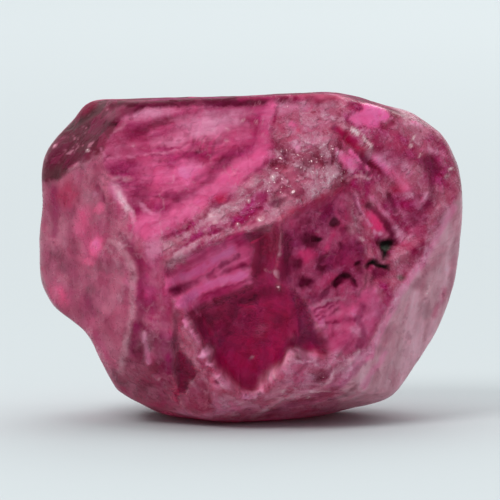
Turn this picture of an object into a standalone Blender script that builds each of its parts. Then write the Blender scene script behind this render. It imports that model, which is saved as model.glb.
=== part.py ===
"""A rough spinel crystal, one broken and worn stone about six millimetres across.

The stone is one solid. Its faces are named the way a cutter notes them: an azimuth in degrees
(0 is +X, 90 is the back, -90 is the front), an elevation in degrees above level, and a reach in
millimetres from the stone's centre to the face. The stone is a block with everything outside its
faces cut away. Its edges are then chamfered by wear, and each break and scar is cut out with a
wedge or pocket whose walls are noted the same way. It rests on the flat break under it, at z = 0.
"""

import math

import bmesh
import bpy
from mathutils import Vector

MM = 0.001
NODE_NAME = "spinel_crystal"

# The centre that every reach is measured from, in millimetres. The origin is under the middle of
# the stone's box, on the surface that it rests on.
CENTRE = Vector((0.01, 0.23, 2.3))
BLOCK_SIDE = 14.0

# How wide a worn edge is, and how far two faces must turn from each other to have one.
WORN_EDGE_WIDTH = 0.09
SHARP_ENOUGH = math.radians(9)

# The search from the front, in millimetres, for the surface that a pit or groove is cut into.
FRONT_SEARCH_START = -2.5
FRONT_SEARCH_STEP = 0.01

# Plane cuts closer than this merge, in metres.
CUT_TOLERANCE = 1e-8

# The stone's faces: (azimuth, elevation, reach).
FACES = {
    # front
    "upper_pane": (-101, 28, 2.40),
    "frosted_plateau": (-84, 36, 2.55),
    "diagonal_ridge": (-99, 25, 2.40),
    "left_flank": (-140, 0, 2.68),
    "left_strip": (-118, -10, 2.65),
    "window_rim": (-86, -2, 2.39),
    "right_front": (-58, 5, 2.35),
    "upper_right": (-46, 23, 2.75),
    "right_bevel": (-40, -10, 2.61),
    "lower_lip": (-81, -40, 2.75),
    "lower_belt": (-69, -65, 2.50),
    "lower_left": (-122, -43, 2.72),
    "corner_chip": (-154, 37, 3.01),
    # round the outline, clockwise from the top
    "top": (130, 87, 2.26),
    "top_right": (6, 74, 2.56),
    "right_shoulder": (6, 63, 2.75),
    "right_corner": (-3, 31, 3.22),
    "right_upper_side": (-3, 18, 3.16),
    "right_side": (-3, -4, 2.94),
    "right_lower_side": (1, -19, 2.84),
    "right_foot": (0, -34, 2.76),
    "right_foot_low": (0, -41, 2.75),
    "right_heel": (-8, -70, 2.51),
    "under_right": (-45, -72, 2.48),
    "resting_break": (0, -90, 2.30),
    "under_left": (-144, -72, 2.52),
    "left_heel": (-175, -59, 2.61),
    "left_foot": (-176, -37, 2.67),
    "left_lower_side": (-177, -30, 2.79),
    "left_side_low": (180, -6, 2.99),
    "left_side": (180, 1, 3.01),
    "left_upper_side": (176, 7, 3.01),
    "left_shoulder": (172, 15, 3.07),
    "left_shoulder_top": (165, 39, 3.09),
    "left_crown": (155, 59, 2.86),
    # back
    "back": (84, 7, 1.76),
    "back_left": (132, 3, 2.11),
    "back_right": (43, -7, 2.21),
    "back_upper": (97, 51, 1.95),
    "back_upper_right": (45, 39, 2.58),
    "back_upper_left": (143, 41, 2.84),
    "back_lower": (86, -49, 2.11),
    "back_lower_left": (139, -40, 2.49),
    "back_lower_right": (42, -41, 2.56),
}

# The breaks: what lies outside every wall of a break is gone.
BREAKS = {
    "waist": ((-173, -54, 2.23), (-178, -25, 2.53)),
    "window_left": (
        (-32, 21, 0.24),
        (-27, 24, -0.02),
        (-60, -52, 0.86),
        (-78, 72, -1.04),
        (-157, 25, -0.14),
        (-119, -10, 1.77),
        (-87, -5, 2.07),
    ),
    "window_right": (
        (-38, -40, 0.94),
        (-134, -8, 0.22),
        (-128, 6, 0.61),
        (-129, 49, -0.29),
        (-69, 60, 0.13),
        (-56, 1, 2.20),
        (-52, 8, 2.04),
    ),
    "veined_hollow": (
        (-48, -36, 0.89),
        (-40, 7, 2.39),
        (-117, -14, -0.17),
        (-85, 49, 1.15),
        (-63, 3, 2.11),
    ),
    "cleft": ((-29, -10, 0.32), (-122, -21, 2.59)),
    "upper_scoop": (
        (-14, -44, -0.26),
        (-62, 23, 2.62),
        (-177, 37, -0.48),
        (-77, 58, 2.37),
        (-45, 20, 2.60),
    ),
    "right_scoop": (
        (-39, -17, 1.80),
        (-53, 9, 2.48),
        (-108, -14, -0.32),
        (-64, 52, 2.07),
        (-47, 6, 2.40),
    ),
    "back_hollow": (
        (84, -35, 0.63),
        (41, -12, -0.14),
        (89, 34, 1.01),
        (112, 35, 0.92),
        (118, -4, 0.85),
        (87, 10, 1.51),
    ),
    "back_step": (
        (83, -54, 0.61),
        (59, -6, 1.80),
        (46, 22, 1.16),
        (78, 41, 0.25),
        (108, -22, 0.27),
        (64, 2, 1.77),
    ),
    "left_scar": (
        (151, -31, 1.40),
        (143, -16, 1.67),
        (155, 26, 2.05),
        (-157, 31, 1.56),
        (151, 18, 2.37),
    ),
    "top_scar": (
        (-86, 60, 0.92),
        (166, 53, 1.21),
        (116, 50, 1.51),
        (73, 60, 1.70),
        (22, 36, 0.20),
        (94, 67, 1.97),
    ),
    "right_scar": (
        (11, -33, 1.79),
        (-40, -1, 1.46),
        (4, 29, 1.89),
        (46, 1, 1.67),
        (22, -4, 2.54),
    ),
}

# Pits where dark grains sat: (x, z) of the middle in millimetres, radius, depth.
PITS = {
    "grain_pit_large": (1.91, 2.42, 0.13, 0.10),
    "grain_pit_arch": (1.76, 2.15, 0.10, 0.07),
    "grain_pit_window": (1.30, 1.98, 0.09, 0.07),
    "grain_pit_right": (2.10, 1.95, 0.07, 0.05),
    "hole_left": (-1.08, 1.75, 0.06, 0.08),
}

# Grooves in the fracture faces: start (x, z), end (x, z), width, depth, in millimetres.
GROOVES = {
    "pane_crescent_low": ((-1.55, 3.25), (-0.55, 3.45), 0.13, 0.05),
    "pane_crescent_top": ((-1.60, 4.05), (-0.95, 4.25), 0.12, 0.045),
    "pane_line": ((-1.30, 3.80), (-0.70, 3.68), 0.07, 0.03),
    "pane_edge": ((0.36, 4.20), (0.33, 3.65), 0.08, 0.04),
    "flank_groove": ((-2.14, 3.42), (-1.98, 2.95), 0.09, 0.04),
    "chip_ledge": ((-2.45, 4.05), (-2.06, 4.30), 0.09, 0.05),
    "ripple_low": ((0.80, 1.42), (1.28, 1.50), 0.07, 0.03),
    "ripple_middle": ((0.76, 1.56), (1.22, 1.62), 0.07, 0.03),
    "ripple_high": ((0.92, 1.10), (1.30, 1.20), 0.08, 0.03),
    "vein_long": ((1.62, 3.02), (2.10, 2.62), 0.07, 0.03),
    "vein_short": ((1.36, 3.22), (1.50, 2.66), 0.06, 0.03),
    "belt_ledge": ((0.72, 0.30), (1.20, 0.36), 0.09, 0.04),
    "belt_ledge_low": ((0.30, 0.16), (0.80, 0.20), 0.08, 0.03),
}


def clear_scene():
    for old in list(bpy.data.objects):
        bpy.data.objects.remove(old, do_unlink=True)


def facing(azimuth, elevation):
    """The unit vector that looks out of the stone at this azimuth and elevation."""
    turn = math.radians(azimuth)
    lift = math.radians(elevation)
    return Vector((math.cos(lift) * math.cos(turn), math.cos(lift) * math.sin(turn), math.sin(lift)))


def face_plane(azimuth, elevation, reach):
    """A point of the face, in metres, and its outward normal."""
    normal = facing(azimuth, elevation)
    return (CENTRE + normal * reach) * MM, normal


def new_block():
    block = bmesh.new()
    bmesh.ops.create_cube(block, size=BLOCK_SIDE * MM)
    bmesh.ops.translate(block, vec=CENTRE * MM, verts=block.verts)
    return block


def cut_away(block, point, outward):
    """Removes what lies beyond the plane and closes the block with one flat face."""
    everything = block.verts[:] + block.edges[:] + block.faces[:]
    bmesh.ops.bisect_plane(
        block, geom=everything, dist=CUT_TOLERANCE, plane_co=point, plane_no=outward, clear_outer=True
    )
    open_edges = [edge for edge in block.edges if edge.is_boundary]
    if open_edges:
        bmesh.ops.edgeloop_fill(block, edges=open_edges)


def wear_edges(block):
    """Chamfers each edge to about WORN_EDGE_WIDTH with one plane across it."""
    chamfers = []
    for edge in block.edges:
        first, second = edge.link_faces
        turn = first.normal.angle(second.normal)
        if turn < SHARP_ENOUGH:
            continue
        outward = (first.normal + second.normal).normalized()
        middle = (edge.verts[0].co + edge.verts[1].co) / 2
        sink = WORN_EDGE_WIDTH * MM / 2 * math.tan(turn / 2)
        chamfers.append((middle - outward * sink, outward))
    for point, outward in chamfers:
        cut_away(block, point, outward)


def to_object(block, name):
    bmesh.ops.recalc_face_normals(block, faces=block.faces)
    mesh = bpy.data.meshes.new(name)
    block.to_mesh(mesh)
    block.free()
    made = bpy.data.objects.new(name, mesh)
    bpy.context.scene.collection.objects.link(made)
    return made


def make_body():
    block = new_block()
    for azimuth, elevation, reach in FACES.values():
        cut_away(block, *face_plane(azimuth, elevation, reach))
    wear_edges(block)
    return to_object(block, NODE_NAME)


def break_cutter(name, walls):
    """The space outside every wall, as a closed wedge or pocket."""
    block = new_block()
    for azimuth, elevation, reach in walls:
        point, normal = face_plane(azimuth, elevation, reach)
        cut_away(block, point, -normal)
    return to_object(block, name)


def beyond(point, wall):
    """How far a point in millimetres lies outside one face or wall, negative inside."""
    azimuth, elevation, reach = wall
    return (point - CENTRE).dot(facing(azimuth, elevation)) - reach


def is_stone(point):
    """True where the point is inside every face and in no break."""
    if any(beyond(point, face) > 0 for face in FACES.values()):
        return False
    return not any(all(beyond(point, wall) > 0 for wall in walls) for walls in BREAKS.values())


def front_surface(x, z):
    """The first point of the stone met from the front at this x and z, in millimetres."""
    point = Vector((x, FRONT_SEARCH_START, z))
    while not is_stone(point):
        point.y += FRONT_SEARCH_STEP
        if point.y > CENTRE.y:
            raise ValueError(f"nothing of the stone's front lies at x {x}, z {z}")
    return point


def pit_cutter(name, x, z, radius, depth):
    """A rounded pebble half sunk in the front."""
    block = bmesh.new()
    bmesh.ops.create_icosphere(block, subdivisions=2, radius=radius * MM)
    centre = front_surface(x, z) + Vector((0.0, depth - radius, 0.0))
    bmesh.ops.translate(block, vec=centre * MM, verts=block.verts)
    return to_object(block, name)


def groove_cutter(name, start, end, width, depth):
    """A three-sided bar, pointed at both ends, whose lower edge sinks into the front."""
    first = front_surface(*start)
    last = front_surface(*end)
    along = (last - first).normalized()
    inward = Vector((0.0, 1.0, 0.0))
    inward = (inward - along * inward.dot(along)).normalized()
    across = along.cross(inward)
    bulge = (first + last) / 2
    middle = front_surface(bulge.x, bulge.z)
    rise = max(0.0, (bulge - middle).dot(inward))
    block = bmesh.new()
    ends = [block.verts.new((point - inward * depth) * MM) for point in (first, last)]
    corners = (
        middle + inward * depth,
        middle + across * width / 2 - inward * (depth + rise),
        middle - across * width / 2 - inward * (depth + rise),
    )
    ring = [block.verts.new(corner * MM) for corner in corners]
    for index in range(3):
        pair = (ring[index], ring[(index + 1) % 3])
        for end_vertex in ends:
            block.faces.new((*pair, end_vertex))
    return to_object(block, name)


def subtract(body, cutter):
    cutter.hide_render = True
    cutter.display_type = "WIRE"
    modifier = body.modifiers.new(cutter.name, "BOOLEAN")
    modifier.operation = "DIFFERENCE"
    modifier.solver = "EXACT"
    modifier.object = cutter


def make_material():
    """Pink spinel: clear inside, frosted by wear outside."""
    material = bpy.data.materials.new("pink_spinel")
    material.use_nodes = True
    shader = material.node_tree.nodes["Principled BSDF"]
    shader.inputs["Base Color"].default_value = (0.45, 0.04, 0.16, 1.0)
    shader.inputs["Roughness"].default_value = 0.35
    shader.inputs["Metallic"].default_value = 0.0
    shader.inputs["IOR"].default_value = 1.718
    return material


def main():
    clear_scene()
    stone = make_body()
    stone.data.materials.append(make_material())
    for name, walls in BREAKS.items():
        subtract(stone, break_cutter(name, walls))
    for name, measures in PITS.items():
        subtract(stone, pit_cutter(name, *measures))
    for name, measures in GROOVES.items():
        subtract(stone, groove_cutter(name, *measures))


main()
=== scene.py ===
# A rough pink spinel: the finished surface, its colours and its light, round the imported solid.
import math

import bpy
import numpy as np
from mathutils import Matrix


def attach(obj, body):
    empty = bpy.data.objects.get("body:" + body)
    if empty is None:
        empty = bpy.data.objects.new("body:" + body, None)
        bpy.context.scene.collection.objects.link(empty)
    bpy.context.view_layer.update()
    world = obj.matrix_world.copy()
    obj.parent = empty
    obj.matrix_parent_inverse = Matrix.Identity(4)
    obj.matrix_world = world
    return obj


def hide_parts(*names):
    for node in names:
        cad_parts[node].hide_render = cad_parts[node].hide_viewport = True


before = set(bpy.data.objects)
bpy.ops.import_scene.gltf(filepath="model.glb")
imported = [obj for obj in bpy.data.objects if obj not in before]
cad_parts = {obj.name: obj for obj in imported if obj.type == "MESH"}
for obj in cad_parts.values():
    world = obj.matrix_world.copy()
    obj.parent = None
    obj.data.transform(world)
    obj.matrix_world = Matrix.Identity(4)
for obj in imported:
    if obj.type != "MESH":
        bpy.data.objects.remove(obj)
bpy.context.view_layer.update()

mm = 0.001

# How the noise is made: what a lattice point is scrambled with, and how each finer layer differs.
noise = {
    "mixers": (374761393, 668265263, 2147483647),  # one for each axis
    "seedMixer": 1274126177,
    "turn": np.array([(0.36, 0.48, -0.80), (-0.80, 0.60, 0.00), (0.48, 0.64, 0.60)]),
    "finer": 1.97,      # how much finer the next layer is
    "shift": 0.37,      # how far it is moved
    "seedStep": 31,
}

# The noises that shape the paint: how fine, how many layers, the seed, and how much of its strength
# each finer layer keeps.
textures = {
    "borders": (5.0, 3, 11, 0.5),
    "wearAndShadePatches": (4.5, 4, 17, 0.5),
    "wanderAcross": (4.0, 4, 21, 0.5),
    "wanderDown": (4.0, 4, 22, 0.5),
    "tremorAcross": (14.0, 2, 23, 0.6),
    "tremorDown": (14.0, 2, 24, 0.6),
    "fray": (9.0, 3, 25, 0.7),
    "lineGaps": (9.0, 2, 41, 0.5),
    "veins": (2.1, 4, 51, 0.5),
    "veinsPlaces": (1.3, 2, 52, 0.5),
    "fineVeins": (4.2, 3, 53, 0.5),
    "fineVeinsPlaces": (2.0, 2, 54, 0.5),
    "pocks": (8.0, 3, 62, 0.5),
    "relief": (5.0, 4, 71, 0.55),
    "tone": (6.0, 3, 73, 0.6),
}


def hashGrid(cells, seed):
    # A repeatable number from 0 to 1 for each lattice point: the point's three integers are mixed
    # by multiplying, shifting and folding their bits.
    mixX, mixY, mixZ = noise["mixers"]
    i = cells.astype(np.int64) & 0xFFFFF
    h = i[..., 0] * mixX + i[..., 1] * mixY + i[..., 2] * mixZ + seed * noise["seedMixer"]
    h = (h ^ (h >> 13)) * noise["seedMixer"] & 0xFFFFFFFF
    h = (h ^ (h >> 16)) & 0xFFFF
    return h / 0xFFFF


def valueNoise(points, seed):
    # Smooth noise from -1 to 1: random values on a lattice, blended between its eight corners by a
    # quintic fade.
    cell = np.floor(points)
    f = points - cell
    f = f * f * f * (f * (f * 6 - 15) + 10)
    total = 0.0
    for dx in (0, 1):
        wx = f[:, 0] if dx else 1 - f[:, 0]
        for dy in (0, 1):
            wy = f[:, 1] if dy else 1 - f[:, 1]
            for dz in (0, 1):
                wz = f[:, 2] if dz else 1 - f[:, 2]
                total = total + wx * wy * wz * hashGrid(cell + (dx, dy, dz), seed)
    return total * 2 - 1


def fractal(points, scale, octaves, seed, gain=0.5):
    # Layers of smooth noise, each turned, about twice as fine and gain times as strong as the last.
    p = points * scale
    total = 0.0
    strength = 1.0
    weight = 0.0
    for octave in range(octaves):
        total = total + strength * valueNoise(p, seed + noise["seedStep"] * octave)
        weight += strength
        strength *= gain
        p = (p @ noise["turn"]) * noise["finer"] + noise["shift"]
    return total / weight


def streaked(points, along, length, scale, octaves, seed):
    # Noise drawn out along a direction: the points are squeezed along it before they are looked up.
    squeezed = points - (1 - 1 / length) * (points @ along)[:, None] * along
    return fractal(squeezed, scale, octaves, seed)


def ramp(low, high, x):
    # From 0 at low to 1 at high, level at both ends.
    t = np.clip((x - low) / (high - low), 0, 1)
    return t * t * (3 - 2 * t)


def softMax(a, width):
    # The largest value of each row, rounded off over width: a scaled log of summed exponentials.
    top = a.max(axis=1)
    return top + width * np.log(np.exp((a - top[:, None]) / width).sum(axis=1))


def softPair(a, b, width):
    # The same for two columns.
    top = np.maximum(a, b)
    return top + width * np.log(np.exp((a - top) / width) + np.exp((b - top) / width))


def texture(name, points):
    # One of the noises that shape the paint.
    return fractal(points, *textures[name])


# The stone's faces: azimuth and elevation in degrees, and reach from the centre in millimetres.
faces = {
    "upperPane": (-101, 28, 2.40),
    "frostedPlateau": (-84, 36, 2.55),
    "diagonalRidge": (-99, 25, 2.40),
    "leftFlank": (-140, 0, 2.68),
    "leftStrip": (-118, -10, 2.65),
    "windowRim": (-86, -2, 2.39),
    "rightFront": (-58, 5, 2.35),
    "upperRight": (-46, 23, 2.75),
    "rightBevel": (-40, -10, 2.61),
    "lowerLip": (-81, -40, 2.75),
    "lowerBelt": (-69, -65, 2.50),
    "lowerLeft": (-122, -43, 2.72),
    "cornerChip": (-154, 37, 3.01),
    "top": (130, 87, 2.26),
    "topRight": (6, 74, 2.56),
    "rightShoulder": (6, 63, 2.75),
    "rightCorner": (-3, 31, 3.22),
    "rightUpperSide": (-3, 18, 3.16),
    "rightSide": (-3, -4, 2.94),
    "rightLowerSide": (1, -19, 2.84),
    "rightFoot": (0, -34, 2.76),
    "rightFootLow": (0, -41, 2.75),
    "rightHeel": (-8, -70, 2.51),
    "underRight": (-45, -72, 2.48),
    "restingBreak": (0, -90, 2.30),
    "underLeft": (-144, -72, 2.52),
    "leftHeel": (-175, -59, 2.61),
    "leftFoot": (-176, -37, 2.67),
    "leftLowerSide": (-177, -30, 2.79),
    "leftSideLow": (180, -6, 2.99),
    "leftSide": (180, 1, 3.01),
    "leftUpperSide": (176, 7, 3.01),
    "leftShoulder": (172, 15, 3.07),
    "leftShoulderTop": (165, 39, 3.09),
    "leftCrown": (155, 59, 2.86),
    "back": (84, 7, 1.76),
    "backLeft": (132, 3, 2.11),
    "backRight": (43, -7, 2.21),
    "backUpper": (97, 51, 1.95),
    "backUpperRight": (45, 39, 2.58),
    "backUpperLeft": (143, 41, 2.84),
    "backLower": (86, -49, 2.11),
    "backLowerLeft": (139, -40, 2.49),
    "backLowerRight": (42, -41, 2.56),
}

# The breaks in it, each a hollow whose walls are noted in the same way.
breaks = {
    "waist": [(-173, -54, 2.23), (-178, -25, 2.53)],
    "windowLeft": [
        (-32, 21, 0.24), (-27, 24, -0.02), (-60, -52, 0.86), (-78, 72, -1.04),
        (-157, 25, -0.14), (-119, -10, 1.77), (-87, -5, 2.07),
    ],
    "windowRight": [
        (-38, -40, 0.94), (-134, -8, 0.22), (-128, 6, 0.61), (-129, 49, -0.29),
        (-69, 60, 0.13), (-56, 1, 2.20), (-52, 8, 2.04),
    ],
    "veinedHollow": [(-48, -36, 0.89), (-40, 7, 2.39), (-117, -14, -0.17), (-85, 49, 1.15), (-63, 3, 2.11)],
    "cleft": [(-29, -10, 0.32), (-122, -21, 2.59)],
    "upperScoop": [(-14, -44, -0.26), (-62, 23, 2.62), (-177, 37, -0.48), (-77, 58, 2.37), (-45, 20, 2.60)],
    "rightScoop": [(-39, -17, 1.80), (-53, 9, 2.48), (-108, -14, -0.32), (-64, 52, 2.07), (-47, 6, 2.40)],
    "backHollow": [
        (84, -35, 0.63), (41, -12, -0.14), (89, 34, 1.01),
        (112, 35, 0.92), (118, -4, 0.85), (87, 10, 1.51),
    ],
    "backStep": [
        (83, -54, 0.61), (59, -6, 1.80), (46, 22, 1.16),
        (78, 41, 0.25), (108, -22, 0.27), (64, 2, 1.77),
    ],
    "leftScar": [(151, -31, 1.40), (143, -16, 1.67), (155, 26, 2.05), (-157, 31, 1.56), (151, 18, 2.37)],
    "topScar": [
        (-86, 60, 0.92), (166, 53, 1.21), (116, 50, 1.51),
        (73, 60, 1.70), (22, 36, 0.20), (94, 67, 1.97),
    ],
    "rightScar": [(11, -33, 1.79), (-40, -1, 1.46), (4, 29, 1.89), (46, 1, 1.67), (22, -4, 2.54)],
}

# The breaks whose walls are jagged.
jaggedBreaks = ("windowLeft", "windowRight", "veinedHollow", "backStep", "topScar")

# Places where the outline swells out past its faces: centre, radius and height in millimetres.
swells = {
    "chipLobe": ((-2.86, -0.20, 3.74), 0.42, 0.085),
    "chipPoint": ((-2.36, -0.10, 4.42), 0.24, 0.070),
    "rightCrest": ((2.26, 0.00, 4.34), 0.30, 0.060),
    "heelCorner": ((1.92, -0.50, 0.24), 0.45, 0.060),
}

# How the faces and walls waver, so that none is quite flat. Scales are per unit of the first sphere.
waves = {
    "height": 0.028,      # how far a face strays from flat, millimetres
    "faceScale": 2.4,
    "faceShift": 3.7,     # how far apart the faces' noises lie
    "wallHeight": 0.0168,
    "wallScale": 3.1,
    "wallShift": 5.3,
    "wallSeed": 90,
    "layers": 3,          # of each of the three noises
    "jaggedness": 0.030,  # how far the walls of a jagged break wander, millimetres
    "jagScale": 6.5,
    "jagSeed": 70,
}

stone = {
    "centre": (0.01, 0.23, 2.3),   # millimetres
    "gridSide": 316,               # quads along one side of the grid, 199,712 triangles in all
    "quickSide": 140,
    "frontDensity": 0.46,          # how much closer the grid stands in front
    "weldDigits": 7,               # how alike two points are that are made one
    "fullness": 0.018,             # added to every reach, for what the wear takes off
    "edgeWear": 0.042,             # how far an edge is rounded, millimetres
    "rimWear": 0.010,              # the same for the rim of a break
    "creaseWear": 0.035,           # the same for the creases inside it
    "steps": 30,                   # steps of the walk to the surface
    "leastSlope": 0.02,            # how far a face has to lean out for the walk to start on it
    "farOut": 9.0,
    "settling": 36,                # rounds of evening out the points on steep walls
    "settlingStep": 0.8,
    "steepness": (0.94, 0.55),     # how square to its ray a wall is where that begins and is full
    "evening": 2,                  # rounds of evening out the paint there
    "eveningStep": 0.7,
    "stretched": (0.90, 0.60),
    "facing": (-0.05, 0.22),       # how far a point turns to the front where the drawing begins and is full
    "reliefSmoothing": 1,          # rounds of smoothing the drawn relief
    "footFade": (0.02, 0.12),      # heights between which the relief begins, millimetres
    "seed": 7,
}

tiny = 1e-12  # keeps a division safe


def octahedralDirections(side):
    # Folds a square grid onto the sphere with equal areas: the inner diamond is the front half, and
    # the four corners fold together behind. The grid stands closer near its middle.
    s = np.linspace(-1, 1, side + 1)
    s = s * (1 - stone["frontDensity"] * (1 - s * s))
    u, v = np.meshgrid(s, s, indexing="xy")
    d = 1 - (np.abs(u) + np.abs(v))
    r = 1 - np.abs(d)
    safe = np.maximum(r, tiny)
    phi = ((np.abs(v) - np.abs(u)) / safe + 1) * (math.pi / 4)
    spread = r * np.sqrt(np.maximum(2 - r * r, 0))
    across = np.copysign(np.cos(phi), u) * spread
    up = np.copysign(np.sin(phi), v) * spread
    out = np.copysign(1 - r * r, d)
    return np.stack([across, -out, up], axis=-1).reshape(-1, 3)


def weldedGrid(directions, side):
    # The grid's quads, with the points that the fold brings together made one.
    rounded = np.round(directions, stone["weldDigits"]) + 0.0
    _, first, same = np.unique(rounded, axis=0, return_index=True, return_inverse=True)
    same = same.reshape(-1)
    i, j = np.meshgrid(np.arange(side), np.arange(side), indexing="xy")
    corner = (j * (side + 1) + i).reshape(-1)
    quads = np.stack([corner, corner + 1, corner + side + 2, corner + side + 1], axis=1)
    return directions[first], same[quads]


def outward(table):
    # The unit normal and the reach of each face in a table.
    rows = np.array(list(table), dtype=float)
    turn = np.radians(rows[:, 0])
    lift = np.radians(rows[:, 1])
    normals = np.stack([np.cos(lift) * np.cos(turn), np.cos(lift) * np.sin(turn), np.sin(lift)], axis=1)
    return normals, rows[:, 2]


def surfaceTerms(directions):
    # Each face and wall with its reach at every point, which wavers so that none is quite flat.
    normals, reach = outward(faces.values())
    seed = stone["seed"]
    reachHere = np.repeat(reach[None, :], len(directions), axis=0)
    for k in range(len(reach)):
        moved = directions + k * waves["faceShift"]
        reachHere[:, k] += waves["height"] * fractal(moved, waves["faceScale"], waves["layers"], seed + k)
    reachHere += stone["fullness"]
    flat = list(faces).index("restingBreak")
    reachHere[:, flat] = reach[flat]
    jags = fractal(directions, waves["jagScale"], waves["layers"], seed + waves["jagSeed"])
    walls = {}
    for number, (name, table) in enumerate(breaks.items()):
        wallNormals, wallReach = outward(table)
        moved = directions + number * waves["wallShift"]
        wave = fractal(moved, waves["wallScale"], waves["layers"], seed + waves["wallSeed"] + number)
        wave = waves["wallHeight"] * wave + waves["jaggedness"] * jags * (name in jaggedBreaks)
        walls[name] = (wallNormals, wallReach[None, :] + wave[:, None])
    return normals, reachHere, walls


def heights(away, terms):
    # How far each point stands out from every face, and from every wall of every break.
    normals, reachHere, walls = terms
    hollows = {name: away @ wallNormals.T - wallReach for name, (wallNormals, wallReach) in walls.items()}
    return away @ normals.T - reachHere, hollows


def stoneDistance(away, terms):
    # The distance to the stone: the largest of the distances to its faces, and in a break the
    # smallest of the distances to the walls.
    gaps, hollows = heights(away, terms)
    distance = softMax(gaps, stone["edgeWear"])
    for wall in hollows.values():
        distance = softPair(distance, -softMax(-wall, stone["creaseWear"]), stone["rimWear"])
    return distance


def solveAway(directions, terms):
    # Walks each ray in from outside by its distance to the stone until it meets the surface.
    normals, reachHere, walls = terms
    slope = directions @ normals.T
    with np.errstate(divide="ignore"):
        crossing = np.where(slope > stone["leastSlope"], reachHere / slope, stone["farOut"])
    radius = crossing.min(axis=1)
    for step in range(stone["steps"]):
        radius = radius - stoneDistance(directions * radius[:, None], terms)
    return directions * radius[:, None]


def vertexNormals(points, quads):
    # Each quad's cross product of its diagonals, summed at its corners.
    a, b, c, d = (points[quads[:, k]] for k in range(4))
    cross = np.cross(c - a, d - b)
    total = np.zeros_like(points)
    for axis in range(3):
        for k in range(4):
            total[:, axis] += np.bincount(quads[:, k], cross[:, axis], len(points))
    return total / np.maximum(np.linalg.norm(total, axis=1, keepdims=True), tiny)


def neighbourMeans(values, quads):
    # The mean of each point's neighbours along the grid, for every column of values.
    ends = np.concatenate([quads[:, [0, 1]], quads[:, [1, 2]], quads[:, [2, 3]], quads[:, [3, 0]]])
    ends = np.concatenate([ends, ends[:, ::-1]])
    count = np.bincount(ends[:, 0], minlength=len(values))
    columns = [np.bincount(ends[:, 0], column[ends[:, 1]], len(values)) / count for column in values.T]
    return np.stack(columns, axis=1)


def settle(away, quads, directions, terms):
    # Slides the points of a steep wall along it until they lie evenly between its rim and its floor,
    # then drops them back onto the surface.
    for step in range(stone["settling"]):
        normals = vertexNormals(away, quads)
        steep = ramp(*stone["steepness"], (normals * directions).sum(axis=1))[:, None]
        move = neighbourMeans(away, quads) - away
        move -= (move * normals).sum(axis=1)[:, None] * normals
        away = away + stone["settlingStep"] * steep * move
        away = away - stoneDistance(away, terms)[:, None] * normals
    return away


def swell(points, quads):
    # Pushes the points out along their normals, by a bell curve round each swell's centre.
    normals = vertexNormals(points, quads)
    for centre, radius, height in swells.values():
        distance = np.linalg.norm(points - centre, axis=1)
        points = points + normals * (height * np.exp(-(distance / radius) ** 2))[:, None]
    return points


# Colours as they look in daylight, 0 to 255.
palette = {
    "soot": (30, 24, 27),
    "sootGreen": (84, 92, 86),
    "oxblood": (84, 24, 48),
    "maroon": (108, 38, 60),
    "wine": (116, 30, 66),
    "deepRed": (128, 20, 56),
    "crimson": (146, 32, 80),
    "cherry": (182, 12, 74),
    "magenta": (168, 46, 98),
    "rose": (188, 66, 116),
    # hotPink, neon and coral are the stone's own pink with a painted glow in it, for the light reflected
    # inside the stone.
    "hotPink": (218, 86, 146),
    "petal": (206, 120, 166),
    "frost": (190, 118, 148),
    "mauve": (164, 98, 126),
    "haze": (192, 138, 162),
    "blush": (176, 90, 122),
    "neon": (246, 104, 172),
    "hotRed": (212, 56, 116),
    "coral": (240, 92, 146),
    "ash": (122, 66, 88),
    "flank": (147, 61, 94),
    "belt": (166, 72, 104),
    "olive": (88, 52, 62),
    "lilac": (216, 162, 190),
    # snow and glint are painted highlights.
    "snow": (240, 206, 224),
    "glint": (238, 206, 224),
}

# What the palette is corrected by.
daylight = {
    "veil": 0.010,                                # the sheen that lies over every colour
    "brightness": np.array((1.33, 1.24, 1.10)),   # for the part of the light that doesn't reach it
    "darkest": 0.002,
}


def linear(name):
    # A palette colour as linear light, by the screen's own curve, less the sheen and brightened.
    c = np.array(palette[name]) / 255.0
    light = np.where(c > 0.04045, ((c + 0.055) / 1.055) ** 2.4, c / 12.92)
    return np.maximum(light - daylight["veil"], daylight["darkest"]) * daylight["brightness"]


# The front is drawn on squared paper: each mark below is placed by its square, counted across and down.
paper = {
    "squaresPerMm": 70.5,
    "middle": 251,        # the square under the stone's centre
    "foot": 418,          # the row at the stone's foot
    "setBack": 0.173,     # millimetres, where the stone's foot lies behind its centre
    "tilt": 5.0,          # degrees that the paper leans back
    "leastFront": 0.01,   # how far a point has to face the front to be drawn on
}


def drawnSquares(points):
    # Where each point falls on the drawing: across by its x, down by its height on the leaning paper.
    tilt = math.radians(paper["tilt"])
    up = points[:, 2] * math.cos(tilt) + (points[:, 1] + paper["setBack"]) * math.sin(tilt)
    across = paper["middle"] + (points[:, 0] - stone["centre"][0]) * paper["squaresPerMm"]
    return np.stack([across, paper["foot"] - up * paper["squaresPerMm"]], axis=1)


def lineDistance(squares, line):
    # The shortest distance to a run of straight pieces: each piece's nearest point is clamped to it.
    best = np.full(len(squares), np.inf)
    for a, b in zip(line[:-1], line[1:]):
        a = np.array(a, dtype=float)
        along = np.array(b, dtype=float) - a
        t = np.clip(((squares - a) @ along) / (along @ along), 0, 1)
        best = np.minimum(best, np.linalg.norm(squares - a - t[:, None] * along, axis=1))
    return best


def outlineDistance(squares, outline):
    # The distance to a closed outline, less than nothing inside it, by counting crossings to the right.
    ring = list(outline) + [outline[0]]
    inside = np.zeros(len(squares), bool)
    for (ax, ay), (bx, by) in zip(ring[:-1], ring[1:]):
        spans = (ay > squares[:, 1]) != (by > squares[:, 1])
        if ay != by:
            crossing = ax + (squares[:, 1] - ay) * (bx - ax) / (by - ay)
            inside ^= spans & (squares[:, 0] < crossing)
    distance = lineDistance(squares, ring)
    return np.where(inside, -distance, distance)


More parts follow.
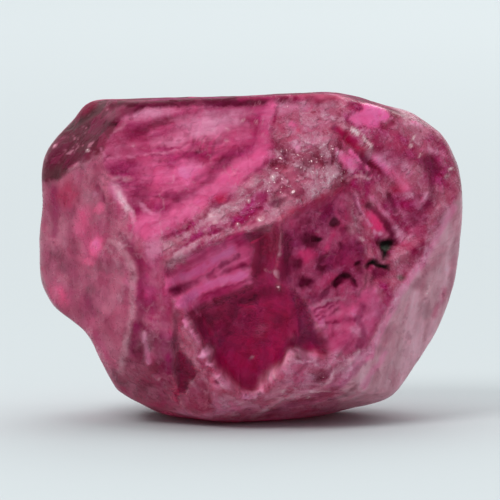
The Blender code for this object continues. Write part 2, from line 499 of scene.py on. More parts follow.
def spotDistance(squares, centre, length, width, turn):
    # How many times its own half size a point is from an oval's centre.
    angle = math.radians(turn)
    away = squares - np.array(centre, dtype=float)
    along = away[:, 0] * math.cos(angle) - away[:, 1] * math.sin(angle)
    across = away[:, 0] * math.sin(angle) + away[:, 1] * math.cos(angle)
    return np.hypot(along / length, across / width)


def within(squares, low, high, front):
    # The points that face the front and lie in a box of the drawing.
    return np.flatnonzero((front > paper["leastFront"]) & np.all((squares > low) & (squares < high), axis=1))


# The ways that streaks lie, in degrees up from level.
lies = {"rising": 30, "upright": 80, "falling": 130, "level": 5}

# Coats: two colours to mottle between, how clear, how rough, how frosted, and how streaked.
coats = {
    "frosted": ("belt", "frost", 0.25, 0.36, 0.80, 0.30),
    "satin": ("flank", "blush", 0.45, 0.28, 0.50, 0.35),
    "clear": ("crimson", "rose", 0.80, 0.14, 0.20, 0.50),
    "deep": ("wine", "magenta", 0.85, 0.12, 0.15, 0.50),
    # Dull and shaded: dark and rough, a painted shade over the top faces.
    "dullShaded": ("oxblood", "wine", 0.00, 0.60, 0.30, 0.30),
    "dark": ("maroon", "wine", 0.10, 0.40, 0.20, 0.20),
}

# What each face and break is coated with. The others are satin.
faceCoats = {
    "top": "dullShaded", "topRight": "dullShaded", "rightCorner": "frosted", "rightUpperSide": "satin",
    "rightLowerSide": "frosted", "rightFoot": "frosted", "rightFootLow": "frosted", "leftFoot": "clear",
    "leftSide": "frosted", "leftShoulder": "satin", "leftShoulderTop": "dark", "leftCrown": "dark",
    "back": "clear", "backRight": "frosted", "backUpperRight": "clear", "backUpperLeft": "frosted",
    "backLower": "frosted", "backLowerLeft": "clear", "windowLeft": "deep", "windowRight": "deep",
    "veinedHollow": "clear", "upperScoop": "clear", "rightScoop": "clear", "backHollow": "deep",
    "backStep": "clear", "leftScar": "clear", "topScar": "deep", "rightScar": "clear",
}

# Marks in pale colours are frosted, and marks in glassy ones are bare.
paleColours = ("frost", "lilac", "snow")
glassyColours = (
    "cherry", "deepRed", "crimson", "wine", "oxblood", "soot", "hotRed", "neon", "hotPink", "glint",
)

# Wear and painted light over the whole stone: how strong, its colour, change in clearness, and height in
# millimetres.
wearsAndShades = {
    # Edges worn pale: partly wear, partly a painted highlight.
    "paleEdge": (0.75, "frost", -0.3, 0.0),
    # Painted shade in the creases of the breaks.
    "creaseShade": (0.50, "wine", 0.05, -0.006),
    # Painted shade along the edges of the dull top faces, like the shade over them.
    "dullShadedEdge": (0.75, "oxblood", -0.3, 0.0),
    "glassyVein": (0.45, "crimson", 0.0, -0.006),
    "glassyFine": (0.40, "hotPink", -0.05, 0.004),
    "frostVein": (0.40, "frost", -0.05, 0.005),
    "pock": (0.35, "wine", 0.0, -0.003),
}

coat = {
    "blend": 0.006,               # over what depth two coats mix, millimetres
    "wander": 0.012,              # how far the borders between them stray
    "leastShare": 0.01,           # how little of a coat is left out
    "faceSeed": 200,
    "edgeWidth": 0.024,
    "insideBreak": (-0.03, 0.0),  # depths between which a point begins to belong to a break
    "rimDepth": -0.05,
    "patches": (-0.35, 0.45),     # where the patches of edge wear, painted highlight and crease shade begin and are full
    "glintBody": 0.4,             # how much paint a glint, a painted highlight, gets
    "paleFrost": 0.8,
    "glassyBare": 0.75,
    "clearest": 0.88,             # how much light a wholly clear coat lets through
    "lift": 0.5,                  # how much a clear coat's colour is lightened
    "colourRange": (0.001, 0.98),
    "roughRange": (0.05, 0.9),
    "drawnShards": 0.8,           # how much less of them there is on the drawn front
}

# How a coat's two colours are mottled.
mottling = {
    "blotches": (2.6, 5, 0.6),  # how fine, how many layers, how much of its strength each keeps
    "streaks": (7.0, 3, 7.0),   # how fine, how many layers, how many times longer than wide
    "streakSeed": 5,
    "pull": 1.3,                # how much the streaks count
    "softness": 0.34,
}


class Canvas:
    # The colour, clearness, roughness, frosting, sparkle for the painted glints, and height of every
    # point of the stone, and the way its streaks lie.
    def __init__(self, count):
        self.everything = np.arange(count)
        self.colour = np.zeros((count, 3))
        self.clear = np.zeros(count)
        self.rough = np.zeros(count)
        self.frost = np.zeros(count)
        self.streak = np.zeros(count)
        self.sparkle = np.zeros(count)
        self.height = np.zeros(count)
        self.lies = np.zeros((count, len(lies)))

    def lay(self, chosen, weight, coatRow, mix, lie):
        # Lays a mottled coat over what is there.
        low, high, *values = coatRow
        w = weight[:, None]
        coatColour = linear(low) * (1 - mix[:, None]) + linear(high) * mix[:, None]
        self.colour[chosen] = self.colour[chosen] * (1 - w) + coatColour * w
        for field, value in zip((self.clear, self.rough, self.frost, self.streak), values):
            field[chosen] = field[chosen] * (1 - weight) + value * weight
        self.sparkle[chosen] = self.sparkle[chosen] * (1 - weight)
        self.lies[chosen] = self.lies[chosen] * (1 - w)
        self.lies[chosen, list(lies).index(lie)] += weight

    def wearAndShade(self, kind, weight):
        # Draws one kind of wear, painted highlight or painted shade over the whole stone.
        strength, *how = wearsAndShades[kind]
        self.mark(self.everything, strength * weight, *how)

    def mark(self, chosen, weight, colour, clearer, height):
        # Draws one mark into the coat. A glint, a painted highlight, is drawn by sparkle, and with little
        # paint.
        self.height[chosen] = self.height[chosen] + height * weight
        if colour == "glint":
            self.sparkle[chosen] = np.maximum(self.sparkle[chosen], weight)
            weight = coat["glintBody"] * weight
        if colour in paleColours:
            self.frost[chosen] = np.maximum(self.frost[chosen], coat["paleFrost"] * weight)
        if colour in glassyColours:
            self.frost[chosen] *= 1 - coat["glassyBare"] * weight
        w = weight[:, None]
        self.colour[chosen] = self.colour[chosen] * (1 - w) + linear(colour) * w
        self.clear[chosen] = self.clear[chosen] + clearer * weight


def mottle(points, turn, streak, seed):
    # From 0 to 1 between a coat's two colours: blotches with streaks drawn through them.
    angle = math.radians(turn)
    along = np.array([math.cos(angle), 0.0, math.sin(angle)])
    scale, layers, gain = mottling["blotches"]
    blotch = fractal(points, scale, layers, seed, gain)
    scale, layers, length = mottling["streaks"]
    streaks = streaked(points, along, length, scale, layers, seed + mottling["streakSeed"])
    blend = blotch * (1 - streak) + mottling["pull"] * streaks * streak
    return ramp(-mottling["softness"], mottling["softness"], blend)


def layFaceCoats(canvas, points, names, values):
    # Every face and break gets its own coat, and a share of the points where two coats meet.
    rng = np.random.default_rng(stone["seed"])
    share = np.exp((values - values.max(axis=1, keepdims=True)) / coat["blend"])
    share /= share.sum(axis=1, keepdims=True)
    laid = np.zeros(len(points))
    for k, name in enumerate(names):
        lie = list(lies)[rng.integers(len(lies))]
        chosen = np.flatnonzero(share[:, k] > coat["leastShare"])
        if not len(chosen):
            continue
        coatRow = coats[faceCoats.get(name, "satin")]
        part = share[chosen, k]
        weight = part / (laid[chosen] + part)
        laid[chosen] += part
        mix = mottle(points[chosen], lies[lie], coatRow[-1], stone["seed"] + coat["faceSeed"] + k)
        canvas.lay(chosen, weight, coatRow, mix, lie)


def nearness(gap):
    # 1 where there is no gap, falling away over the width of a worn edge.
    return np.exp(-gap / coat["edgeWidth"])


def wearAndShadeEdges(canvas, points, gaps, hollows):
    # Edges and rims are worn pale in patches, partly wear and partly a painted highlight; creases get
    # painted shade in patches; and the edges of the dull top faces keep their painted shade.
    ordered = np.sort(gaps, axis=1)
    convex = ordered[:, -1]
    edge = nearness(convex - ordered[:, -2])
    rims = np.zeros(len(points))
    creases = np.zeros(len(points))
    for wall in hollows.values():
        inner = np.sort(wall, axis=1)
        depth = inner[:, 0] - convex
        inside = ramp(*coat["insideBreak"], depth)
        rims = np.maximum(rims, nearness(np.abs(depth)) * (inner[:, 0] > coat["rimDepth"]))
        creases = np.maximum(creases, inside * nearness(inner[:, 1] - inner[:, 0]))
        edge = edge * (1 - inside)
    isDullShaded = np.array([faceCoats.get(name) == "dullShaded" for name in faces])
    dullShadedEdge = nearness(np.abs(gaps[:, isDullShaded].max(axis=1) - gaps[:, ~isDullShaded].max(axis=1)))
    edge = edge * (1 - dullShadedEdge)
    patchy = ramp(*coat["patches"], texture("wearAndShadePatches", points))
    canvas.wearAndShade("paleEdge", np.maximum(edge, rims) * patchy)
    canvas.wearAndShade("creaseShade", creases * patchy)
    canvas.wearAndShade("dullShadedEdge", dullShadedEdge)


def paintFaces(canvas, points, gaps, hollows):
    # Coats first, along borders that waver a little, then the wear and painted light of the edges and
    # creases.
    wander = coat["wander"] * texture("borders", points)
    values = [gaps[:, k] + wander * (k % 3 - 1) for k in range(len(faces))]
    values += [wall.min(axis=1) for wall in hollows.values()]
    layFaceCoats(canvas, points, [*faces, *hollows], np.stack(values, axis=1))
    wearAndShadeEdges(canvas, points, gaps, hollows)


# Regions of the front: two colours to mottle between, how clear, how rough to the light, how frosted,
# how streaked, how the streaks lie, how soft the edge is in squares, then the outline.
regions = {
    "flank": ("flank", "blush", 0.36, 0.28, 0.04, 0.12, "upright", 6, [
        (30, 140), (60, 178), (92, 162), (105, 150), (112, 170), (120, 200), (128, 235), (134, 270),
        (133, 300), (129, 340), (123, 375), (100, 372), (80, 335), (52, 310), (30, 270)]),
    "flankInner": ("magenta", "blush", 0.4, 0.3, 0.3, 0.2, "upright", 7, [
        (112, 170), (150, 215), (182, 224), (176, 262), (168, 290), (182, 318), (178, 345), (150, 325),
        (131, 322), (134, 270), (128, 235), (120, 200)]),
    "lobe": ("wine", "ash", 0.35, 0.3, 0.3, 0.15, "upright", 6, [
        (123, 372), (130, 318), (152, 322), (178, 345), (177, 402), (150, 416), (120, 400), (108, 370)]),
    "chip": ("oxblood", "oxblood", 0.0, 0.36, 0.02, 0.05, "rising", 2.5, [
        (36, 190), (60, 178), (76, 168), (92, 162), (105, 147), (113, 136), (124, 126), (140, 114),
        (150, 104), (140, 92), (95, 88), (50, 120), (34, 160)]),
    # Painted shadow: a dark strip along the top.
    "topShadowStrip": ("oxblood", "wine", 0.0, 0.6, 0.1, 0.2, "level", 3, [
        (85, 85), (350, 85), (344, 104), (300, 108), (200, 109), (108, 112)]),
    "pane": ("crimson", "rose", 0.4, 0.14, 0.1, 0.5, "level", 4, [
        (108, 146), (116, 134), (128, 123), (144, 112), (170, 108), (200, 107), (282, 108), (276, 152),
        (240, 174), (218, 188), (200, 201), (150, 226), (136, 228), (118, 202), (106, 165)]),
    "brightBand": ("rose", "hotPink", 0.4, 0.16, 0.1, 0.45, "rising", 7, [
        (134, 226), (150, 222), (203, 198), (218, 186), (276, 150), (284, 160), (240, 192), (210, 208),
        (185, 223), (165, 240), (142, 240)]),
    "ridgeBand": ("crimson", "frost", 0.25, 0.34, 0.8, 0.45, "rising", 6, [
        (165, 238), (185, 222), (210, 206), (240, 191), (284, 160), (346, 150), (350, 190), (310, 204),
        (279, 225), (238, 238), (205, 251), (178, 272), (164, 262)]),
    "plateau": ("maroon", "blush", 0.18, 0.42, 1.0, 0.3, "rising", 8, [
        (276, 108), (300, 106), (332, 112), (346, 130), (349, 190), (312, 206), (284, 202), (262, 204),
        (268, 160)]),
    "plateauTop": ("belt", "petal", 0.28, 0.34, 0.75, 0.15, "upright", 8, [
        (276, 106), (332, 106), (350, 124), (338, 142), (305, 146), (276, 140)]),
    "windowUpper": ("magenta", "hotPink", 0.32, 0.14, 0.06, 0.5, "rising", 3, [
        (170, 270), (205, 250), (240, 237), (252, 240), (250, 274), (246, 284), (212, 303), (190, 318),
        (178, 303), (166, 290)]),
    "windowSide": ("maroon", "crimson", 0.85, 0.12, 0.15, 0.5, "upright", 5, [
        (248, 238), (279, 224), (281, 288), (246, 302), (236, 300), (252, 276)]),
    "windowDeep": ("deepRed", "crimson", 0.88, 0.1, 0.1, 0.35, "upright", 1.8, [
        (188, 316), (212, 302), (250, 298), (280, 286), (293, 285), (306, 304), (318, 328), (330, 354),
        (322, 358), (299, 355), (290, 358), (287, 367), (277, 371), (275, 380), (264, 385), (260, 392),
        (247, 396), (238, 390), (226, 378), (222, 367), (207, 358), (208, 348), (196, 332)]),
    "middle": ("wine", "rose", 0.52, 0.16, 0.5, 0.3, "rising", 6, [
        (279, 224), (310, 203), (346, 190), (352, 215), (365, 245), (372, 275), (352, 300), (304, 303),
        (292, 285), (281, 286)]),
    "striated": ("rose", "hotPink", 0.38, 0.14, 0.15, 0.45, "rising", 4, [
        (304, 302), (350, 298), (372, 285), (388, 298), (380, 328), (362, 350), (330, 356), (315, 326)]),
    "upperRight": ("crimson", "blush", 0.14, 0.26, 0.65, 0.2, "falling", 6, [
        (344, 92), (400, 96), (442, 120), (460, 160), (463, 197), (445, 218), (430, 247), (412, 274),
        (398, 292), (384, 300), (368, 275), (352, 215), (347, 150), (334, 112)]),
    # The bevel's pale lilac is partly a painted sheen.
    "bevel": ("haze", "lilac", 0.22, 0.34, 0.05, 0.55, "upright", 4, [
        (461, 192), (478, 215), (462, 320), (425, 380), (388, 408), (341, 416), (339, 384), (360, 366),
        (382, 323), (401, 290), (416, 271), (430, 247), (445, 218)]),
    "belt": ("blush", "petal", 0.2, 0.32, 0.65, 0.4, "level", 4, [
        (176, 402), (206, 398), (214, 372), (231, 380), (245, 396), (260, 390), (273, 373), (289, 362),
        (290, 354), (330, 356), (362, 350), (374, 342), (360, 366), (339, 384), (342, 416), (300, 424),
        (230, 434), (180, 420)]),
    "wedge": ("oxblood", "oxblood", 0.8, 0.14, 0.1, 0.2, "upright", 2.5, [
        (177, 345), (182, 348), (191, 359), (198, 371), (189, 383), (185, 390), (182, 399), (178, 400)]),
    "underFacet": ("flank", "ash", 0.4, 0.3, 0.35, 0.25, "upright", 2.5, [
        (199, 373), (206, 381), (212, 396), (216, 411), (196, 411), (180, 404), (190, 385)]),
    "ellipse": ("neon", "neon", 0.1, 0.14, 0.0, 0.15, "level", 2.0, [
        (349, 122), (354, 112), (366, 108), (382, 110), (390, 117), (386, 125), (372, 129), (356, 129)]),
}

# Arcs left by the fracture: centre, wavelength in squares, height in millimetres, and the distances
# over which they come and go.
ripples = {
    "paneRipples": ((150, 112), 8.0, 0.0018, (20, 34), (84, 98)),
    "paneFine": ((150, 112), 4.6, 0.0008, (50, 58), (80, 92)),
    "striae": ((290, 255), 7.5, 0.0030, (46, 54), (86, 98)),
    "whorlArcs": ((328, 176), 5.0, 0.0050, (0, 1), (13, 19)),
    "bevelWaves": ((230, 40), 26.0, 0.0050, (235, 250), (330, 360)),
    "windowRipples": ((262, 250), 10.0, 0.0015, (60, 72), (120, 140)),
}

# Marks drawn as lines: colour, strength, half width in squares, change in clearness, height in
# millimetres, then the points.
lines = {
    # A painted highlight along the flank's ridge, with painted shade beside it.
    "flankRidge": ("haze", 0.42, 3.0, -0.3, 0.014, [
        (112, 240), (121, 245), (129, 255), (134, 268), (135, 284), (134, 304), (131, 323), (127, 345),
        (122, 371)]),
    "flankRidgeShade": ("wine", 0.62, 3.6, 0.1, -0.02, [
        (122, 236), (133, 247), (141, 262), (143, 284), (142, 305), (139, 326), (135, 345)]),
    "flankRidgeInner": ("mauve", 0.4, 3.0, -0.2, 0.006, [
        (112, 252), (120, 262), (124, 276), (124, 292), (122, 312), (118, 332)]),
    "flankGroove": ("wine", 0.8, 2.2, 0.0, -0.03, [(100, 187), (103, 195), (108, 205), (111, 214)]),
    "flankDark": ("crimson", 0.7, 3.2, 0.1, -0.01, [(55, 190), (56, 210), (55, 236)]),
    "flankRim": ("mauve", 0.6, 3.5, -0.1, 0.0, [(44, 185), (41, 205), (40, 230), (41, 262)]),
    "flankRimLow": ("belt", 0.6, 3.0, 0.0, 0.0, [(44, 268), (50, 284), (60, 299), (74, 312)]),
    "flankMottle": ("ash", 0.6, 2.6, -0.05, -0.008, [(90, 276), (92, 288), (91, 298)]),
    "flankCrimson": ("wine", 0.65, 3.0, 0.1, -0.008, [(88, 296), (92, 305), (96, 313)]),
    "outlineBump": ("frost", 0.6, 2.6, -0.1, 0.028, [(89, 331), (96, 345), (104, 358), (112, 372)]),
    "outlineBumpInner": ("rose", 0.6, 2.6, 0.1, 0.0, [(97, 333), (103, 343), (108, 357)]),
    "chipEdge": ("olive", 0.7, 2.2, 0.0, 0.01, [
        (115, 130), (109, 141), (104, 150), (95, 161), (84, 167), (70, 172), (60, 179), (50, 186)]),
    "chipShade": ("maroon", 0.75, 3.0, 0.1, -0.02, [(112, 132), (104, 142), (98, 151), (91, 158)]),
    "oliveBand": ("olive", 1.0, 3.4, 0.0, -0.03, [(104, 101), (98, 111), (90, 117), (82, 121), (71, 126)]),
    "oliveRim": ("olive", 0.7, 2.2, 0.0, 0.0, [
        (71, 126), (61, 133), (52, 142), (46, 155), (44, 168), (46, 178)]),
    "blackDash": ("soot", 0.85, 1.4, -0.3, -0.02, [(111, 125), (115, 126), (118, 127)]),
    "paleArc": ("mauve", 0.65, 1.6, -0.15, 0.01, [(117, 133), (124, 129), (131, 122)]),
    "topShade": ("oxblood", 0.85, 4.0, 0.05, -0.015, [
        (108, 104), (140, 103), (180, 104), (215, 104), (245, 104), (262, 103)]),
    "topCrimson": ("crimson", 0.7, 3.0, 0.0, 0.0, [(240, 98), (262, 99), (285, 96), (305, 98)]),
    "topRim": ("belt", 0.6, 2.6, -0.15, 0.008, [(300, 99), (322, 96), (345, 98), (370, 101), (388, 107)]),
    "paleTwist": ("petal", 0.42, 1.0, -0.2, 0.01, [
        (102, 149), (106, 155), (110, 160), (120, 157), (135, 159), (146, 155), (163, 156), (178, 151),
        (190, 147)]),
    "fineDarkOne": ("crimson", 0.75, 1.2, 0.05, -0.01, [(158, 151), (170, 150), (181, 149)]),
    "fineDarkTwo": ("crimson", 0.75, 1.2, 0.05, -0.01, [(153, 157), (166, 158), (178, 156), (190, 154)]),
    "fineDarkThree": ("crimson", 0.65, 1.4, 0.05, -0.01, [(150, 147), (160, 143), (172, 141)]),
    "brightUpright": ("hotPink", 0.55, 5.5, -0.05, 0.008, [
        (262, 158), (263, 146), (264, 136), (267, 120), (271, 108)]),
    "redUpright": ("crimson", 0.8, 1.5, 0.0, -0.018, [(275, 110), (274, 126), (272, 140), (273, 158)]),
    "brightDiagonal": ("hotPink", 0.62, 8.0, -0.05, 0.014, [
        (146, 232), (166, 222), (188, 210), (204, 197), (220, 186), (240, 172), (258, 158)]),
    "brightEdge": ("wine", 0.55, 1.5, -0.1, -0.016, [
        (162, 240), (184, 227), (203, 217), (214, 211), (226, 202), (238, 190), (252, 175), (268, 163)]),
    "brownLine": ("wine", 0.55, 1.8, -0.15, -0.014, [
        (168, 262), (178, 251), (194, 240), (212, 232), (228, 228)]),
    "redLine": ("crimson", 0.8, 1.8, 0.0, -0.018, [
        (180, 260), (196, 251), (212, 243), (228, 238), (243, 232)]),
    "windowTop": ("frost", 0.45, 2.2, -0.3, 0.018, [
        (172, 258), (190, 247), (208, 238), (226, 235), (246, 229), (264, 224), (279, 219)]),
    "windowRimRight": ("cherry", 0.6, 4.0, 0.0, 0.006, [
        (281, 220), (293, 213), (306, 207), (322, 200), (340, 192)]),
    "pinkBandOne": ("neon", 0.82, 4.4, -0.05, 0.014, [
        (172, 282), (183, 276), (196, 269), (209, 261), (222, 254), (233, 249)]),
    "darkBar": ("wine", 0.75, 2.2, 0.0, -0.016, [
        (170, 290), (184, 285), (198, 280), (213, 272), (226, 263), (238, 256)]),
    "darkBarLow": ("wine", 0.6, 1.9, 0.0, -0.012, [
        (176, 295), (190, 287), (205, 281), (219, 274), (232, 267), (243, 265)]),
    "bandLine": ("wine", 0.6, 1.0, 0.0, -0.01, [(182, 273), (196, 266), (210, 258), (224, 250)]),
    "bandLineTwo": ("crimson", 0.65, 1.1, 0.0, -0.01, [
        (186, 303), (200, 296), (216, 291), (232, 285), (246, 280)]),
    "pinkBandTwo": ("neon", 0.84, 4.6, -0.05, 0.016, [
        (180, 302), (190, 296), (202, 289), (216, 282), (230, 277), (246, 272)]),
    "bandShade": ("maroon", 0.75, 3.0, 0.0, -0.02, [
        (192, 312), (206, 305), (220, 300), (234, 293), (250, 286)]),
    "darkSlotOne": ("oxblood", 0.9, 4.5, 0.05, -0.03, [(262, 240), (261, 252), (260, 268)]),
    "darkSlotTwo": ("oxblood", 0.9, 5.0, 0.05, -0.03, [(286, 236), (287, 250), (286, 262), (283, 276)]),
    "windowUpright": ("frost", 0.38, 0.8, -0.3, 0.012, [
        (279, 220), (279, 236), (279, 252), (276, 266), (277, 276), (278, 290)]),
    "sideDarkOne": ("oxblood", 0.7, 1.6, 0.0, -0.01, [(256, 244), (256, 262), (254, 276)]),
    "sideDarkTwo": ("oxblood", 0.6, 1.2, 0.0, -0.008, [(267, 238), (267, 254), (266, 268)]),
    "sideDarkThree": ("oxblood", 0.6, 1.2, 0.0, -0.008, [(273, 232), (273, 248), (271, 262)]),
    "middleEdge": ("maroon", 0.8, 1.6, 0.0, -0.02, [
        (346, 192), (350, 206), (355, 220), (359, 234), (361, 246)]),
    "whisker": ("frost", 0.6, 1.0, -0.2, 0.01, [(265, 269), (271, 271), (276, 270)]),
    "deepCross": ("oxblood", 0.85, 5.0, 0.05, -0.024, [(240, 300), (252, 296), (264, 292), (277, 290)]),
    "redCross": ("cherry", 0.55, 1.6, 0.0, 0.01, [(238, 304), (250, 306), (262, 304), (278, 300)]),
    "deepUpright": ("oxblood", 0.7, 4.0, 0.05, -0.012, [(233, 303), (231, 316), (228, 330)]),
    "windowRimLeftOne": ("petal", 0.95, 2.0, -0.5, 0.024, [(185, 319), (189, 327), (194, 335), (199, 343)]),
    "windowRimLeftTwo": ("petal", 0.85, 2.0, -0.45, 0.02, [
        (199, 343), (207, 346), (214, 349), (207, 352), (201, 354)]),
    "windowRimLeftThree": ("petal", 0.95, 1.8, -0.6, 0.022, [
        (207, 347), (203, 354), (208, 362), (216, 366), (219, 376)]),
    "windowRimLeftFour": ("petal", 0.95, 2.1, -0.6, 0.028, [
        (219, 372), (226, 374), (230, 383), (237, 387), (241, 394), (250, 395), (262, 390)]),
    "windowRimLow": ("petal", 0.95, 2.2, -0.6, 0.03, [
        (244, 394), (254, 393), (262, 388), (263, 380), (271, 379), (272, 370), (281, 368), (286, 360),
        (287, 352), (297, 351), (308, 354), (318, 354), (331, 356)]),
    "windowRimJag": ("lilac", 0.85, 1.2, -0.6, 0.02, [
        (262, 383), (265, 375), (274, 373), (277, 364), (284, 362), (288, 354), (298, 353)]),
    "windowRimRightSide": ("blush", 0.75, 1.5, -0.25, 0.018, [
        (292, 284), (297, 292), (304, 302), (312, 318), (321, 334), (329, 352)]),
    "windowInnerDark": ("deepRed", 0.8, 4.0, 0.05, -0.01, [(318, 334), (324, 344), (326, 353), (318, 354)]),
    "windowStreak": ("rose", 0.75, 1.5, -0.1, 0.01, [(286, 342), (289, 339), (292, 336)]),
    "middleDarkOne": ("oxblood", 0.8, 1.8, 0.0, -0.016, [(319, 266), (323, 260), (326, 255)]),
    "middlePale": ("mauve", 0.6, 1.6, -0.25, 0.012, [
        (345, 190), (349, 206), (353, 218), (359, 232), (362, 246), (364, 262), (362, 285)]),
    "middlePaleTwo": ("frost", 0.5, 1.4, -0.25, 0.01, [(350, 202), (356, 209), (360, 222)]),
    "middleDarkTwo": ("wine", 0.7, 3.0, 0.05, -0.016, [(336, 262), (343, 255), (346, 243), (340, 231)]),
    "arcShade": ("wine", 0.75, 2.2, 0.05, -0.016, [
        (321, 296), (330, 290), (337, 283), (345, 279), (352, 285), (356, 294)]),
    "striaOne": ("crimson", 0.9, 1.3, 0.05, -0.018, [(309, 312), (317, 308), (326, 304), (333, 299)]),
    "striaTwo": ("crimson", 0.9, 1.3, 0.05, -0.018, [(312, 316), (321, 313), (329, 307), (336, 301)]),
    "striaThree": ("crimson", 0.75, 1.2, 0.05, -0.014, [(318, 319), (328, 314), (337, 308), (344, 303)]),
    "striaFour": ("crimson", 0.9, 1.6, 0.05, -0.02, [
        (326, 323), (333, 322), (339, 320), (346, 318), (354, 319)]),
    "striaFive": ("crimson", 0.85, 2.2, 0.05, -0.018, [(325, 342), (329, 336), (336, 332), (345, 331)]),
    "striaPale": ("petal", 0.6, 1.8, -0.1, 0.012, [(306, 306), (318, 304), (330, 298), (342, 297)]),
    "striaPaleTwo": ("petal", 0.55, 1.6, -0.1, 0.01, [(318, 326), (330, 327), (344, 326), (354, 330)]),
    "striaEnd": ("wine", 0.6, 3.5, 0.05, -0.012, [(361, 305), (358, 318), (362, 330), (358, 344)]),
    "striaFleck": ("crimson", 0.75, 2.0, 0.05, -0.012, [(363, 306), (361, 314)]),
    "pinkDiagonal": ("neon", 0.9, 2.3, -0.1, 0.018, [
        (372, 158), (380, 166), (389, 175), (397, 182), (408, 190)]),
    "rightRidgeOne": ("petal", 1.0, 1.7, -0.25, 0.02, [
        (357, 150), (366, 153), (378, 160), (390, 170), (402, 181)]),
    "rightGapOne": ("crimson", 0.9, 1.7, 0.05, -0.02, [(360, 157), (370, 164), (382, 173), (394, 183)]),
    "rightRidgeTwo": ("petal", 0.95, 1.6, -0.25, 0.018, [(382, 150), (394, 157), (404, 166), (410, 176)]),
    "rightGapTwo": ("wine", 0.85, 1.7, 0.05, -0.02, [(386, 157), (397, 166), (404, 177)]),
    "rightRidgeThree": ("petal", 0.9, 1.6, -0.25, 0.018, [(425, 194), (421, 210), (414, 224), (408, 238)]),
    "rightGapThree": ("wine", 0.8, 1.8, 0.05, -0.02, [(419, 195), (414, 210), (407, 223)]),
    "rightRidgeFour": ("petal", 0.95, 1.7, -0.25, 0.02, [(391, 121), (402, 126), (413, 124), (424, 131)]),
    "rightGapFour": ("wine", 0.85, 2.0, 0.05, -0.02, [(397, 117), (408, 118), (419, 122), (428, 128)]),
    "rightRidgeFive": ("petal", 0.9, 1.6, -0.25, 0.016, [(352, 196), (358, 208), (364, 218), (369, 226)]),
    "rightGapFive": ("wine", 0.8, 1.6, 0.05, -0.018, [(348, 190), (354, 203), (359, 215)]),
    "pinkDiagonalTwo": ("petal", 0.6, 2.0, -0.15, 0.012, [(376, 156), (388, 160), (400, 163), (408, 172)]),
    "darkNotch": ("wine", 0.9, 3.6, 0.0, -0.028, [
        (334, 130), (344, 138), (354, 147), (362, 156), (366, 166), (368, 177)]),
    # A painted highlight: a crisp white streak, with painted shade beside it.
    "whiteStreak": ("snow", 0.8, 1.6, -0.6, 0.008, [(351, 130), (358, 136), (366, 142), (371, 148)]),
    "whiteStreakShade": ("cherry", 0.85, 3.4, 0.0, -0.02, [(338, 131), (346, 139), (354, 147), (362, 154)]),
    "pinkBlade": ("neon", 0.85, 1.8, -0.2, 0.022, [
        (340, 146), (349, 154), (358, 162), (366, 170), (372, 180)]),
    "pinkBladeTwo": ("petal", 0.95, 1.8, -0.25, 0.02, [
        (372, 156), (384, 164), (396, 174), (406, 186), (412, 198)]),
    "pinkBladeShade": ("deepRed", 0.85, 2.2, 0.0, -0.022, [(368, 162), (380, 172), (392, 184), (400, 196)]),
    "whiteStreakTwo": ("glint", 0.7, 1.2, -0.3, 0.014, [(361, 146), (366, 150), (372, 154)]),
    "ellipseRim": ("petal", 0.6, 0.9, -0.3, 0.014, [(360, 131), (368, 132), (377, 131)]),
    "ellipseEdge": ("deepRed", 0.7, 2.6, 0.0, -0.018, [(392, 111), (396, 118), (391, 126), (381, 130)]),
    "ellipseTop": ("crimson", 0.35, 1.6, 0.0, -0.01, [(362, 104), (370, 104), (378, 105), (390, 108)]),
    "paleShelf": ("frost", 0.85, 1.4, -0.3, 0.016, [
        (346, 181), (352, 178), (358, 177), (367, 179), (377, 176)]),
    "patchEdge": ("petal", 0.8, 1.6, -0.2, 0.014, [(335, 151), (339, 158), (344, 166), (350, 172)]),
    "veinOne": ("petal", 0.75, 2.4, -0.3, 0.018, [
        (371, 198), (376, 204), (384, 214), (393, 225), (398, 234), (401, 243)]),
    "veinShade": ("oxblood", 0.85, 2.8, 0.05, -0.022, [(368, 206), (376, 213), (384, 223), (391, 234)]),
    "darkLeaf": ("oxblood", 0.85, 2.6, 0.05, -0.02, [(388, 195), (392, 204), (395, 212)]),
    "darkHollowTail": ("wine", 0.75, 3.0, 0.05, -0.02, [
        (431, 176), (430, 190), (429, 202), (421, 213), (413, 224)]),
    "hollowBrow": ("petal", 0.65, 1.8, -0.2, 0.014, [(420, 150), (430, 151), (441, 154), (448, 160)]),
    "browShade": ("wine", 0.6, 1.6, 0.0, -0.012, [(426, 141), (436, 140), (444, 146)]),
    "redFleck": ("crimson", 0.75, 1.8, 0.0, -0.012, [(420, 243), (413, 251), (409, 258)]),
    "rightPaleOne": ("petal", 0.6, 1.6, -0.2, 0.012, [(420, 223), (416, 232), (412, 242)]),
    "rightPaleTwo": ("petal", 0.6, 1.6, -0.2, 0.012, [(437, 221), (430, 228)]),
    "bevelBorder": ("crimson", 0.3, 4.5, 0.0, -0.014, [
        (441, 214), (427, 243), (412, 266), (397, 284), (383, 304), (376, 322), (368, 340), (358, 352)]),
    # A pale raised ridge, with a painted highlight along it.
    "bevelRidge": ("petal", 0.7, 3.6, -0.2, 0.024, [
        (452, 208), (437, 236), (424, 256), (408, 279), (396, 296), (387, 315), (378, 334), (367, 354),
        (352, 372), (340, 382)]),
    "bevelWhite": ("glint", 0.75, 2.0, -0.1, 0.014, [(431, 281), (427, 289), (421, 299)]),
    "bevelPink": ("rose", 0.6, 3.2, 0.1, -0.01, [(443, 290), (439, 302), (434, 315)]),
    "bevelStreakOne": ("frost", 0.7, 2.2, -0.05, 0.01, [(447, 235), (438, 249), (429, 262), (420, 274)]),
    "bevelStreakTwo": ("petal", 0.7, 3.0, -0.05, 0.01, [(384, 353), (376, 364), (368, 376), (362, 386)]),
    "bevelStreakThree": ("frost", 0.55, 1.8, -0.05, 0.008, [(407, 304), (403, 316), (398, 330)]),
